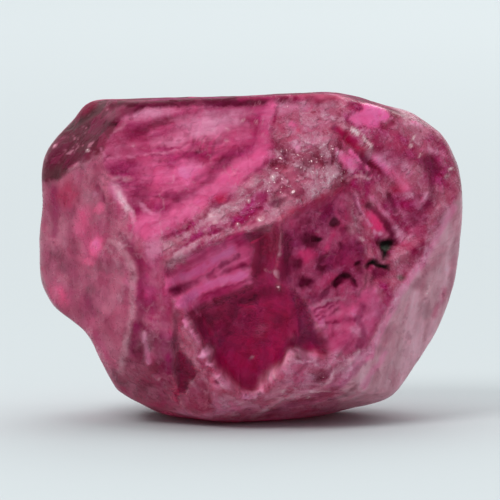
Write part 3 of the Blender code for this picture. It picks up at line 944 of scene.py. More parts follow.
    "bevelShadeOne": ("blush", 0.5, 4.5, 0.0, -0.01, [(441, 249), (432, 262), (424, 274), (416, 286)]),
    "bevelShadeTwo": ("mauve", 0.6, 3.0, 0.0, -0.01, [(456, 240), (452, 270), (449, 296)]),
    "bevelShadeThree": ("blush", 0.55, 4.0, 0.0, -0.01, [(392, 326), (384, 340), (376, 352)]),
    "ledgeOne": ("lilac", 0.75, 2.2, -0.2, 0.03, [
        (358, 350), (348, 360), (338, 368), (328, 379), (318, 387), (306, 392), (292, 395), (278, 399),
        (264, 407), (252, 417)]),
    "ledgeShade": ("wine", 0.5, 2.6, 0.0, -0.026, [
        (362, 362), (350, 374), (340, 384), (326, 391), (312, 398), (296, 402), (282, 406), (268, 414)]),
    "ledgeWhite": ("glint", 0.85, 0.9, -0.25, 0.01, [(309, 389), (318, 389), (329, 389)]),
    # Painted shadow under the ledge.
    "ledgeDark": ("maroon", 0.45, 2.4, 0.0, -0.02, [(330, 398), (340, 396), (348, 391), (355, 385)]),
    "ledgeTwo": ("frost", 0.6, 1.5, -0.25, 0.022, [
        (332, 406), (340, 402), (347, 398), (356, 392), (366, 386)]),
    "ledgeThree": ("mauve", 0.6, 1.5, -0.2, 0.02, [
        (300, 402), (310, 402), (318, 405), (328, 409), (340, 409)]),
    "ledgeFour": ("mauve", 0.6, 1.6, -0.2, 0.02, [(256, 412), (268, 405), (280, 399), (292, 394)]),
    "ledgeFive": ("mauve", 0.5, 1.4, -0.15, 0.018, [(206, 392), (216, 402), (228, 408), (240, 414)]),
    "beltShade": ("wine", 0.48, 2.0, 0.05, -0.02, [(284, 398), (296, 399), (306, 397)]),
    "beltShadeTwo": ("wine", 0.48, 2.0, 0.05, -0.018, [(282, 380), (292, 376), (300, 370), (306, 362)]),
    "lobePale": ("petal", 0.6, 2.4, -0.15, 0.014, [(146, 331), (147, 342), (149, 350), (151, 360)]),
    "lobeDark": ("oxblood", 0.6, 3.0, 0.05, -0.016, [(137, 351), (141, 358), (143, 348)]),
    "lobeEdge": ("belt", 0.7, 1.3, -0.15, 0.014, [(175, 348), (176, 362), (176, 378), (176, 397)]),
    "lobeFoot": ("crimson", 0.55, 3.0, 0.0, -0.01, [(122, 388), (132, 400), (146, 406), (164, 403)]),
    "wedgeRim": ("mauve", 0.6, 1.8, -0.2, 0.014, [(181, 344), (190, 354), (199, 368), (206, 380)]),
    "wedgeTip": ("ash", 0.55, 3.0, 0.0, -0.016, [(176, 312), (177, 326), (178, 340)]),
    "facetRim": ("frost", 0.65, 1.2, -0.2, 0.014, [
        (198, 373), (190, 384), (185, 395), (180, 403), (192, 410), (200, 414)]),
    "facetDark": ("maroon", 0.6, 4.5, 0.05, -0.01, [(203, 384), (206, 396), (212, 408)]),
}

# Marks drawn as spots: colour, strength, centre, half length and half width in squares, the turn of
# the length in degrees up from level, change in clearness, height in millimetres.
spots = {
    "chipTriangle": ("maroon", 0.9, (92, 110), 16, 9, 40, 0.0, 0.0),
    "chipRed": ("oxblood", 0.95, (98, 128), 14, 7, 5, 0.1, -0.02),
    "chipShadow": ("oxblood", 0.75, (66, 152), 18, 8, 55, 0.0, -0.01),
    "chipTopMauve": ("ash", 0.6, (120, 112), 16, 7, 10, 0.0, 0.0),
    "chipPurple": ("ash", 0.45, (83, 162), 8, 4, 15, -0.1, -0.012),
    "chipCorner": ("olive", 0.85, (56, 174), 11, 7, 30, 0.0, -0.008),
    "chipGrey": ("ash", 0.4, (112, 117), 9, 5, 20, -0.1, 0.0),
    "chipWhite": ("glint", 0.95, (90, 151), 2.6, 1.8, 0, -0.3, 0.01),
    "chipPale": ("frost", 0.55, (92, 145), 3, 2, 30, -0.2, 0.008),
    "chipRimWhite": ("frost", 0.8, (56, 145), 2.5, 2, 60, -0.2, 0.008),
    "paneCrimson": ("flank", 0.75, (124, 148), 20, 18, 0, -0.35, 0.0),
    # Painted shade: a dark crescent at the pane's upper left.
    "paneCrescent": ("maroon", 0.85, (158, 125), 24, 6, 12, -0.2, -0.018),
    "paneCrescentTail": ("wine", 0.75, (138, 134), 14, 6, 35, -0.1, -0.01),
    "paneRightShade": ("wine", 0.8, (227, 161), 22, 6, 38, -0.05, -0.014),
    "paneLowShade": ("wine", 0.85, (184, 197), 26, 5, 8, -0.05, -0.018),
    "paneLowShadeTwo": ("wine", 0.8, (208, 184), 18, 4, 32, -0.05, -0.014),
    "paneLowShadeThree": ("crimson", 0.75, (163, 207), 24, 4.5, -2, -0.05, -0.01),
    "paneLowLeft": ("wine", 0.7, (142, 197), 12, 11, 0, -0.05, -0.008),
    "paneMiddleShade": ("crimson", 0.75, (200, 156), 16, 4, 5, 0.0, -0.01),
    "paneTopHaze": ("petal", 0.7, (150, 115), 26, 5, 8, -0.15, 0.004),
    "paneDeepLow": ("crimson", 0.8, (125, 168), 20, 7, 10, 0.05, -0.01),
    # Painted reflection: the pale pink of the sky on the pane's upper part.
    "panePale": ("petal", 0.85, (212, 128), 34, 15, 5, -0.15, 0.0),
    "panePaleRight": ("rose", 0.6, (240, 138), 14, 12, 0, -0.1, 0.0),
    "panePaleLeft": ("petal", 0.6, (170, 143), 20, 5, 5, -0.15, 0.0),
    "paneBright": ("neon", 0.85, (190, 173), 17, 11, 0, -0.05, 0.004),
    "paneBrightLeft": ("hotPink", 0.8, (166, 178), 13, 11, 0, -0.05, 0.002),
    "paneBrightLow": ("hotPink", 0.7, (224, 180), 18, 5, 36, -0.05, 0.004),
    "paneBrightRight": ("hotPink", 0.6, (250, 168), 14, 7, 40, 0.0, 0.0),
    # Painted highlight: a soft pale streak down the pane's lower left.
    "paneStreakTop": ("petal", 0.7, (120, 195), 12, 6.0, -55, -0.25, 0.006),
    "paneStreakLow": ("lilac", 0.68, (127, 205), 17, 3.4, -60, -0.3, 0.008),
    "paneStreakEdge": ("petal", 0.6, (134, 218), 8, 2.6, -68, -0.3, 0.006),
    "paneFan": ("petal", 0.65, (146, 208), 8, 2.6, -40, -0.15, 0.008),
    "paneFanTwo": ("hotPink", 0.75, (146, 219), 13, 6.0, 20, -0.1, 0.006),
    "paneBlobOne": ("frost", 0.55, (128, 181), 5, 3, 0, -0.3, 0.01),
    "paneBlobTwo": ("frost", 0.5, (117, 180), 5, 2.4, 20, -0.3, 0.008),
    "paneBlobThree": ("petal", 0.5, (150, 212), 5, 2.0, -40, -0.2, 0.006),
    # Painted highlights on the pane.
    "paneWhiteOne": ("glint", 0.9, (243, 122), 2.8, 1.8, -10, -0.3, 0.008),
    "paneWhiteTwo": ("glint", 0.85, (255, 124), 2.4, 1.8, 0, -0.3, 0.008),
    "paneWhiteThree": ("lilac", 0.6, (228, 130), 3.5, 1.3, -25, -0.3, 0.006),
    "paneWhiteFour": ("frost", 0.75, (228, 142), 3, 2, 10, -0.2, 0.006),
    "paneDot": ("oxblood", 0.8, (199, 153), 4, 2.2, 10, 0.0, -0.012),
    "paneDotLow": ("crimson", 0.8, (207, 158), 3.4, 3, 0, 0.0, -0.012),
    "paneDotTwo": ("frost", 0.8, (234, 176), 2.4, 2.0, 0, -0.2, 0.008),
    "paneCorner": ("hotPink", 0.9, (273, 109), 4, 3, 60, -0.1, 0.008),
    "bandRed": ("cherry", 0.7, (222, 199), 7, 4.5, 30, 0.0, -0.01),
    "ridgeWhiteOne": ("glint", 0.9, (212, 216), 2.4, 2.0, 0, -0.3, 0.012),
    "ridgeWhiteTwo": ("glint", 0.8, (216, 222), 3.0, 2.2, 40, -0.3, 0.012),
    "ridgeWhiteThree": ("glint", 0.85, (261, 220), 4.0, 2.6, 20, -0.3, 0.014),
    "ridgeWhiteFour": ("glint", 0.8, (238, 226), 2.4, 1.8, 0, -0.3, 0.01),
    "ridgeWhiteFive": ("frost", 0.75, (236, 210), 5.0, 3.0, 20, -0.2, 0.012),
    "ridgeWhiteSix": ("glint", 0.8, (249, 202), 2.0, 1.6, 0, -0.2, 0.008),
    "ridgeSpeckOne": ("glint", 0.65, (184, 262), 2.6, 1.6, 0, -0.2, 0.01),
    "ridgeSpeckTwo": ("frost", 0.65, (175, 268), 3.0, 2.0, 60, -0.2, 0.01),
    "ridgeBrown": ("olive", 0.4, (178, 258), 6, 4, 30, -0.1, -0.008),
    "plateauRose": ("belt", 0.6, (294, 122), 18, 10, 20, 0.0, 0.0),
    "plateauPink": ("hotPink", 0.95, (292, 127), 5.0, 3.6, 0, 0.1, 0.01),
    "plateauOrange": ("cherry", 0.6, (297, 132), 2.4, 1.8, 0, 0.0, -0.006),
    "plateauMauve": ("petal", 0.8, (296, 148), 3.6, 5.0, 0, -0.1, 0.012),
    "plateauDark": ("maroon", 0.9, (284, 154), 3.4, 3.0, 0, 0.0, -0.026),
    "plateauDarkTwo": ("ash", 0.75, (305, 168), 12, 7, 30, 0.0, -0.014),
    "plateauWhite": ("glint", 0.8, (271, 178), 2.4, 1.8, 0, -0.2, 0.012),
    "plateauWhiteTwo": ("glint", 0.75, (292, 193), 2.2, 1.6, 0, -0.2, 0.012),
    "plateauRed": ("crimson", 0.8, (263, 199), 4.0, 6.0, 0, 0.05, -0.014),
    "plateauShade": ("oxblood", 0.9, (276, 203), 7.0, 5.0, 25, 0.1, -0.028),
    "plateauGrey": ("ash", 0.5, (322, 150), 12, 9, 0, 0.0, 0.0),
    "whorl": ("frost", 0.65, (328, 176), 9, 7, 20, -0.1, 0.02),
    "holeLeft": ("wine", 0.95, (177, 291), 8.0, 5.0, 20, 0.0, -0.036),
    "holeRight": ("wine", 0.8, (243, 267), 6.0, 4.5, 20, 0.0, -0.02),
    "bandHotOne": ("neon", 0.72, (203, 268), 12, 4.0, 33, 0.0, 0.0),
    "bandHotTwo": ("neon", 0.72, (239, 279), 9, 4.0, 25, 0.0, 0.0),
    "bandHotThree": ("neon", 0.66, (190, 301), 9, 5.0, 25, 0.0, 0.0),
    "bandFleck": ("petal", 0.75, (223, 284), 2.2, 1.8, 0, -0.1, 0.008),
    "bandFleckTwo": ("petal", 0.7, (210, 282), 2.0, 1.6, 0, -0.1, 0.008),
    "bandNotch": ("wine", 0.85, (245, 268), 4.5, 3.5, -40, 0.05, -0.02),
    "uprightSpeckOne": ("glint", 0.8, (279, 254), 1.8, 1.8, 0, -0.3, 0.012),
    "uprightSpeckTwo": ("frost", 0.9, (276, 272), 2.0, 4.5, 0, -0.3, 0.016),
    "uprightSpeckThree": ("glint", 0.9, (277, 287), 1.9, 3.6, 0, -0.3, 0.018),
    "deepPurple": ("maroon", 0.65, (206, 314), 24, 12, 20, -0.2, -0.006),
    "deepPurpleTwo": ("maroon", 0.6, (238, 306), 24, 10, 15, -0.2, 0.0),
    # Painted glow: the light that comes through the window's lower part, as bright cherry.
    "deepRedBroad": ("cherry", 0.6, (250, 364), 38, 28, 0, -0.2, 0.0),
    "deepBrightOne": ("cherry", 0.6, (241, 365), 16, 10, -10, -0.25, 0.0),
    "deepBrightTwo": ("cherry", 0.5, (224, 357), 12, 8, 20, -0.2, 0.0),
    "deepBrightThree": ("cherry", 0.8, (314, 348), 11, 6, -8, -0.3, 0.0),
    "deepBrightFour": ("cherry", 0.5, (272, 352), 16, 12, 40, -0.2, 0.0),
    "wedgeShade": ("wine", 0.6, (292, 306), 24, 5, -66, 0.0, -0.006),
    "deepDarkTwo": ("oxblood", 0.75, (277, 322), 6, 5, 60, 0.0, -0.014),
    "deepDarkThree": ("oxblood", 0.55, (212, 316), 14, 6, 10, 0.05, 0.0),
    "deepPink": ("rose", 0.65, (262, 328), 8, 5, 45, -0.1, 0.01),
    "deepPinkTwo": ("magenta", 0.7, (215, 334), 7, 4, 15, -0.1, 0.006),
    "deepPinkThree": ("magenta", 0.6, (235, 322), 7, 3, -25, -0.05, 0.006),
    "deepPinkFour": ("crimson", 0.75, (307, 330), 20, 8, -62, 0.0, 0.0),
    "deepWhite": ("lilac", 0.9, (252, 355), 1.7, 1.4, 0, -0.2, 0.006),
    "rimCrumbOne": ("petal", 0.8, (209, 352), 4, 2.4, 20, -0.3, 0.024),
    "rimCrumbTwo": ("petal", 0.7, (211, 357), 3.4, 2.2, -20, -0.3, 0.02),
    "rimCrumbThree": ("frost", 0.65, (228, 380), 4, 2.6, -40, -0.3, 0.02),
    "rimHole": ("oxblood", 0.8, (218, 381), 2.6, 1.8, -40, 0.0, -0.016),
    "rimCorner": ("frost", 0.8, (187, 322), 2.4, 3.6, 0, -0.3, 0.016),
    "middlePink": ("hotRed", 0.8, (304, 256), 11, 6, 15, -0.25, 0.006),
    "middlePinkTwo": ("hotRed", 0.7, (327, 243), 14, 3.5, 68, -0.2, 0.006),
    "middlePinkFive": ("hotRed", 0.5, (336, 262), 7, 4, 60, -0.15, 0.004),
    "middlePinkThree": ("hotRed", 0.6, (326, 280), 12, 5, 35, -0.15, 0.004),
    "middlePinkFour": ("magenta", 0.6, (344, 256), 7, 8, 0, 0.0, 0.0),
    "middleMagenta": ("hotRed", 0.9, (374, 221), 17, 9, -48, -0.25, 0.004),
    "middleDotOne": ("petal", 0.8, (374, 232), 2.2, 2.0, 0, -0.1, 0.008),
    "middleDotTwo": ("petal", 0.8, (379, 234), 2.6, 2.4, 0, -0.1, 0.008),
    "middleWhite": ("glint", 0.75, (361, 239), 2.2, 1.4, -40, -0.2, 0.008),
    "middleMauve": ("frost", 0.5, (350, 228), 6, 5, 0, -0.2, 0.008),
    "striaBright": ("hotPink", 0.9, (334, 311), 12, 7, 30, 0.0, 0.0),
    "striaBrightTwo": ("petal", 0.6, (338, 311), 5, 4, 0, -0.1, 0.0),
    "striaDeep": ("magenta", 0.6, (342, 341), 10, 6, 0, 0.05, 0.0),
    "striaSide": ("petal", 0.55, (355, 331), 4, 6, 20, -0.15, 0.008),
    "striaSideTwo": ("hotPink", 0.6, (362, 297), 4, 8, -20, 0.0, 0.006),
    "darkGlow": ("cherry", 0.65, (342, 139), 12, 5, -35, 0.05, 0.0),
    "patchPink": ("neon", 0.8, (346, 163), 11, 6, -42, -0.1, 0.006),
    "patchBright": ("petal", 0.85, (338, 155), 3.0, 2.6, 0, -0.1, 0.008),
    "ridgeGlow": ("cherry", 0.7, (398, 190), 7, 3.5, -20, 0.05, 0.0),
    # Painted highlights in the upper right.
    "upperWhiteOne": ("snow", 0.9, (412, 139), 3.0, 1.4, 50, -0.3, 0.012),
    "upperWhiteTwo": ("snow", 0.75, (410, 147), 2.8, 1.6, -50, -0.3, 0.012),
    "upperWhiteThree": ("glint", 0.8, (419, 157), 3.0, 1.6, 50, -0.3, 0.01),
    "upperWhiteFour": ("snow", 0.7, (451, 170), 2.8, 1.4, 20, -0.3, 0.01),
    "upperWhiteFive": ("glint", 0.8, (446, 177), 2.0, 1.6, 0, -0.3, 0.008),
    "upperPaleOne": ("frost", 0.75, (404, 120), 2.4, 1.8, 0, -0.2, 0.008),
    "upperPaleTwo": ("frost", 0.75, (403, 128), 3.0, 2.6, 0, -0.2, 0.008),
    "upperPaleThree": ("frost", 0.8, (437, 207), 2.2, 2.0, 0, -0.2, 0.008),
    "upperTan": ("belt", 0.6, (408, 134), 12, 5, -10, 0.0, 0.0),
    "upperTanTwo": ("belt", 0.5, (392, 146), 14, 7, -20, 0.0, 0.0),
    "upperRose": ("blush", 0.65, (422, 148), 14, 7, -38, -0.1, 0.0),
    "hollowDark": ("wine", 0.9, (430, 166), 10, 11, 0, 0.1, -0.024),
    "hollowPink": ("rose", 0.6, (422, 204), 5, 5, 0, 0.0, 0.004),
    "notchShade": ("crimson", 0.6, (410, 163), 3, 7, 30, 0.05, -0.012),
    "topRightPink": ("belt", 0.6, (330, 101), 18, 6, 0, -0.1, 0.0),
    "topRightRed": ("cherry", 0.35, (338, 97), 8, 3, 5, 0.0, 0.0),
    "topRightDark": ("wine", 0.6, (350, 105), 6, 2.2, 20, 0.0, -0.01),
    "beltDark": ("maroon", 0.8, (322, 374), 12, 8, 5, 0.0, -0.02),
    "beltDarkTwo": ("maroon", 0.45, (340, 366), 12, 5, 30, 0.0, -0.01),
    "beltWhite": ("glint", 0.9, (307, 396), 3.0, 1.9, 10, -0.3, 0.014),
    "beltWhiteTwo": ("glint", 0.6, (283, 389), 3.0, 1.3, 25, -0.3, 0.01),
    "beltPale": ("petal", 0.7, (285, 407), 10, 5, 30, -0.15, 0.012),
    "beltSpeckOne": ("frost", 0.75, (242, 400), 2.6, 1.6, 30, -0.2, 0.012),
    "beltSpeckTwo": ("frost", 0.75, (244, 408), 2.4, 1.6, 0, -0.2, 0.012),
    "beltSpeckThree": ("frost", 0.7, (229, 404), 2.0, 3.0, 0, -0.2, 0.012),
    "beltSpeckFour": ("frost", 0.7, (236, 411), 3.0, 2.0, 0, -0.2, 0.012),
    "beltSpeckFive": ("frost", 0.7, (229, 420), 2.4, 1.6, 0, -0.2, 0.01),
    "beltSpeckSix": ("frost", 0.7, (272, 403), 3.0, 1.8, 30, -0.2, 0.01),
    "beltGlow": ("rose", 0.45, (300, 375), 8, 5, 40, 0.0, 0.0),
    "lobeDarkOne": ("oxblood", 0.7, (147, 382), 8, 7, 40, 0.0, -0.014),
    "lobeDarkTwo": ("maroon", 0.6, (139, 352), 5, 4, 0, 0.0, -0.01),
    "lobeDarkThree": ("maroon", 0.55, (158, 366), 6, 8, 0, 0.0, -0.008),
    "lobeWhite": ("glint", 0.8, (146, 330), 2.0, 1.8, 0, -0.3, 0.01),
    "lobeWhiteTwo": ("glint", 0.65, (161, 378), 1.2, 1.2, 0, -0.2, 0.006),
    "lobePink": ("rose", 0.45, (152, 358), 5, 6, 0, 0.0, 0.0),
    # Painted glow: light from within the flank, as soft pink spots.
    "flankGlowOne": ("rose", 0.6, (96, 244), 20, 11, 76, 0.0, 0.0),
    "flankGlowTwo": ("rose", 0.5, (84, 222), 18, 9, 80, 0.0, 0.0),
    "flankGlowThree": ("rose", 0.5, (61, 292), 16, 10, -50, 0.0, 0.0),
    "flankHotOne": ("coral", 0.66, (97, 247), 12, 5.0, 80, -0.1, 0.0),
    "flankHotTwo": ("neon", 0.5, (98, 245), 8, 3.6, 80, -0.1, 0.0),
    "flankHotThree": ("coral", 0.7, (59, 294), 11, 7.5, -50, -0.1, 0.0),
    "flankHotFour": ("coral", 0.42, (83, 222), 15, 7, 80, -0.05, 0.0),
    "flankHotFive": ("coral", 0.6, (103, 209), 6, 4.6, 60, -0.05, 0.0),
    "flankHotSix": ("coral", 0.55, (91, 262), 6, 4, 0, 0.0, 0.0),
    "flankHotSeven": ("petal", 0.55, (96, 195), 3, 3, 0, 0.0, 0.0),
    "flankShade": ("wine", 0.35, (88, 302), 16, 10, -40, 0.05, 0.0),
    "flankRed": ("cherry", 0.45, (66, 196), 14, 12, 30, 0.0, 0.0),
    "flankMauve": ("mauve", 0.7, (89, 198), 9, 8, 0, -0.1, 0.0),
    "flankGreyOne": ("ash", 0.65, (64, 268), 6, 5, 30, -0.1, -0.008),
    "flankGreyTwo": ("ash", 0.5, (100, 268), 7, 4, -30, -0.05, -0.006),
    "flankGreyThree": ("ash", 0.6, (93, 289), 6, 6, 0, -0.05, -0.01),
    "flankLow": ("crimson", 0.4, (112, 325), 14, 7, -60, 0.0, 0.0),
    "innerMagenta": ("crimson", 0.6, (146, 266), 7, 16, 0, 0.05, -0.008),
    "innerPink": ("petal", 0.55, (155, 250), 9, 12, 0, -0.15, 0.006),
    "innerPinkTwo": ("rose", 0.55, (160, 276), 8, 8, 0, 0.0, 0.0),
    "innerShade": ("wine", 0.5, (152, 306), 10, 8, 0, 0.05, -0.008),
    "innerShadeTwo": ("crimson", 0.5, (167, 318), 8, 10, 0, 0.05, -0.006),
    "bevelGrey": ("ash", 0.35, (379, 349), 5, 7, 50, 0.0, -0.008),
    "bevelGlow": ("rose", 0.35, (452, 272), 5, 14, -5, 0.1, 0.0),
    "bevelGlowTwo": ("belt", 0.45, (455, 222), 6, 14, 10, 0.0, 0.0),
    "bevelLow": ("frost", 0.5, (392, 378), 14, 9, 50, -0.05, 0.0),
    "grainMain": ("soot", 1.0, (386, 243), 12.7, 5.6, 5, -1.0, -0.036),
    "grainMainLow": ("soot", 1.0, (383, 253), 5.4, 8.1, 0, -1.0, -0.036),
    "grainMainGreen": ("sootGreen", 0.9, (385, 248), 3.7, 2.8, 0, -1.0, -0.01),
    "grainLight": ("frost", 0.8, (394, 249), 2.0, 2.6, 0, -0.5, 0.01),
    "grainArchLeft": ("soot", 1.0, (371, 263), 8.1, 4.2, 28, -1.0, -0.028),
    "grainArchRight": ("soot", 1.0, (381, 266), 8.1, 3.5, -20, -0.9, -0.024),
    "grainArchRed": ("wine", 0.85, (377, 273), 8, 5, 0, 0.1, -0.01),
    "grainRight": ("sootGreen", 0.8, (399, 278), 5.1, 3.0, -8, -0.8, -0.014),
    "grainLowLeft": ("soot", 1.0, (336, 282), 8.9, 4.5, 48, -1.0, -0.026),
    "grainLowTop": ("soot", 1.0, (345, 275), 7.5, 3.9, 5, -0.9, -0.024),
    "grainLowRight": ("soot", 1.0, (352, 281), 5.1, 4.2, -50, -0.9, -0.024),
    "grainTail": ("oxblood", 0.8, (327, 290), 8.1, 3.2, 40, 0.0, -0.016),
    "grainUpper": ("soot", 0.8, (333, 223), 5.6, 5.2, 0, -0.8, -0.02),
    "grainUpperSmall": ("oxblood", 0.85, (345, 229), 3.4, 2.8, 0, -0.6, -0.012),
    "grainLeft": ("oxblood", 1.0, (308, 240), 12.5, 7.4, 0, -0.6, -0.022),
    "grainLeftLow": ("oxblood", 1.0, (304, 281), 11.0, 8.0, 0, -0.4, -0.022),
    "grainMiddleOne": ("oxblood", 0.9, (321, 258), 6.5, 4.0, 60, -0.5, -0.018),
    "grainMiddleTwo": ("soot", 0.85, (318, 238), 4.6, 3.6, 30, -0.6, -0.014),
    "grainMiddleThree": ("oxblood", 0.85, (340, 246), 6.0, 3.6, -50, -0.5, -0.014),
    "grainMiddleFour": ("oxblood", 0.85, (296, 262), 5.0, 7.0, 20, -0.3, -0.014),
    "grainMiddleFive": ("soot", 0.8, (356, 262), 4.0, 3.0, 40, -0.8, -0.014),
    "grainMiddleSix": ("oxblood", 0.8, (322, 268), 8.0, 3.0, 10, -0.4, -0.014),
    "grainDotOne": ("maroon", 0.85, (360, 243), 2.4, 1.8, 0, -0.3, -0.012),
    "grainDotTwo": ("maroon", 0.85, (358, 269), 3.2, 4.1, 0, -0.2, -0.014),
    "grainDotThree": ("oxblood", 0.6, (306, 222), 8, 3.5, 10, 0.0, -0.012),
}

# How loosely the front is drawn. Distances are in squares.
drawing = {
    "wander": 9.0,              # how far the outlines and arcs stray
    "tremor": 1.2,              # the same, finer
    "markWander": 2.0,          # the same two for lines and spots
    "markTremor": 1.5,
    "margin": 6,                # how far past its box an outline is looked for
    "edgeFray": 0.7,
    "arcTone": 0.16,            # how much an arc's painted shade lightens and darkens the colour
    "arcGaps": (-0.10, 0.30),
    "spotReach": 1.4,
    "spotFray": 0.45,
    "spotEdge": (1.45, 0.35),   # where a spot begins and is full, in its own half sizes
    "lineReach": 2.2,
    "lineEdge": (1.7, 0.35),    # the same for a line, in its half width
    "lineGaps": (-0.5, 0.2),
    "unbroken": (1.6, 3.0),     # half widths between which lines stop breaking off
    "carving": 0.60,            # how deep the drawn marks are cut
    "coatSeed": 300,
}


def paintRegions(canvas, points, soft, front, fray):
    for number, row in enumerate(regions.values()):
        *coatRow, lie, edge, outline = row
        corners = np.array(outline)
        low = corners.min(axis=0) - drawing["margin"]
        high = corners.max(axis=0) + drawing["margin"]
        chosen = within(soft, low, high, front)
        ragged = outlineDistance(soft[chosen], outline) + drawing["edgeFray"] * edge * fray[chosen]
        weight = front[chosen] * ramp(edge, -edge, ragged)
        mix = mottle(points[chosen], lies[lie], coatRow[-1], stone["seed"] + drawing["coatSeed"] + number)
        canvas.lay(chosen, weight, coatRow, mix, lie)


def addRipples(canvas, squares, front, wander):
    # Each set of arcs is a sine of the distance from its centre, in relief and in tone: a painted shade,
    # lighter on each crest and darker in each trough.
    for centre, wavelength, height, comes, goes in ripples.values():
        away = np.linalg.norm(squares - np.array(centre), axis=1) + drawing["wander"] * wander[:, 0]
        band = front * ramp(*comes, away) * ramp(*goes[::-1], away)
        band = band * ramp(*drawing["arcGaps"], wander[:, 1])
        wave = np.sin(2 * math.pi * away / wavelength) * band
        canvas.height += height * wave
        canvas.colour *= (1 + drawing["arcTone"] * wave)[:, None]


def drawSpots(canvas, marked, front, fray):
    for colour, strength, centre, length, width, turn, clearer, height in spots.values():
        reach = drawing["spotReach"] * max(length, width)
        chosen = within(marked - centre, -reach, reach, front)
        distance = spotDistance(marked[chosen], centre, length, width, turn)
        covered = ramp(*drawing["spotEdge"], distance + drawing["spotFray"] * fray[chosen])
        canvas.mark(chosen, strength * front[chosen] * covered, colour, clearer, drawing["carving"] * height)


def drawLines(canvas, points, marked, front):
    # Thin lines break off here and there.
    for colour, strength, half, clearer, height, line in lines.values():
        corners = np.array(line)
        reach = drawing["lineReach"] * half + 1
        chosen = within(marked, corners.min(axis=0) - reach, corners.max(axis=0) + reach, front)
        begins, full = drawing["lineEdge"]
        covered = ramp(begins * half, full * half, lineDistance(marked[chosen], line))
        gaps = ramp(*drawing["lineGaps"], texture("lineGaps", points[chosen]))
        broken = np.maximum(gaps, ramp(*drawing["unbroken"], half))
        weight = strength * front[chosen] * covered * broken
        canvas.mark(chosen, weight, colour, clearer, drawing["carving"] * height)


def paintFront(canvas, points, squares, front):
    # The drawing: regions first, then arcs, spots and lines, each on the points that face the front.
    wander = np.stack([texture("wanderAcross", points), texture("wanderDown", points)], axis=1)
    tremor = np.stack([texture("tremorAcross", points), texture("tremorDown", points)], axis=1)
    fray = texture("fray", points)
    soft = squares + drawing["wander"] * wander + drawing["tremor"] * tremor
    marked = squares + drawing["markWander"] * wander + drawing["markTremor"] * tremor
    paintRegions(canvas, points, soft, front, fray)
    addRipples(canvas, squares, front, wander)
    drawSpots(canvas, marked, front, fray)
    drawLines(canvas, points, marked, front)


# Life over the whole stone: what lies in the clear coats and in the others, pocks and relief, with the
# painted glints in the frost and the painted shade of the relief.
grainAndShading = {
    "veinWidth": 0.045,
    "veinPlaces": (0.0, 0.35),
    "fineWidth": 0.06,
    "finePlaces": (0.05, 0.4),
    "pocks": (0.42, 0.62),
    "glassyFrom": 0.55,    # how clear a coat is to count as glassy
    "sparkle": 0.42,       # painted glints, in the frost
    "frostHeight": 0.012,  # millimetres
    "clearHeight": 0.0025,
    "tone": 0.25,
    "reliefShade": 15.0,        # painted shade and highlight: how much the colour darkens for each millimetre a hollow sinks, and lightens for each a rise stands
    "toneRange": (0.45, 1.6),
}


def veins(points, name, width, places):
    # Thin lines where a noise crosses nought, in some places only.
    line = 1 - ramp(0.0, width, np.abs(texture(name, points)))
    return line * ramp(*places, texture(name + "Places", points))


def addGrainAndShading(canvas, points):
    # Veins in places, pocks where a noise peaks, painted glints in the frost, and relief with its tone: a
    # random tone, and a painted shade that darkens hollows and lightens rises.
    broad = veins(points, "veins", grainAndShading["veinWidth"], grainAndShading["veinPlaces"])
    fine = veins(points, "fineVeins", grainAndShading["fineWidth"], grainAndShading["finePlaces"])
    glassy = canvas.clear > grainAndShading["glassyFrom"]
    canvas.wearAndShade("glassyVein", broad * glassy)
    canvas.wearAndShade("glassyFine", fine * glassy)
    canvas.wearAndShade("frostVein", np.maximum(broad, fine) * ~glassy)
    canvas.sparkle = np.maximum(canvas.sparkle, grainAndShading["sparkle"] * canvas.frost ** 2)
    canvas.wearAndShade("pock", ramp(*grainAndShading["pocks"], texture("pocks", points)))
    relief = grainAndShading["frostHeight"] * canvas.frost + grainAndShading["clearHeight"]
    canvas.height += relief * texture("relief", points)
    # A painted shade darkens the hollows and lightens the rises, over a random tone.
    tone = 1 + grainAndShading["tone"] * texture("tone", points) + grainAndShading["reliefShade"] * canvas.height
    canvas.colour *= np.clip(tone, *grainAndShading["toneRange"])[:, None]


def evenOut(canvas, quads, stretched):
    # Where the grid is stretched over a steep wall the paint is drawn towards its neighbours, or the
    # grid would show in it.
    fields = (canvas.colour, canvas.clear[:, None], canvas.frost[:, None], canvas.height[:, None])
    painted = np.concatenate(fields, axis=1)
    pull = stone["eveningStep"] * stretched[:, None]
    for step in range(stone["evening"]):
        painted = painted + pull * (neighbourMeans(painted, quads) - painted)
    canvas.colour = painted[:, :3]
    canvas.clear, canvas.frost, canvas.height = painted[:, 3:].T


def addObject(name, data):
    made = bpy.data.objects.new(name, data)
    bpy.context.scene.collection.objects.link(made)
    return made


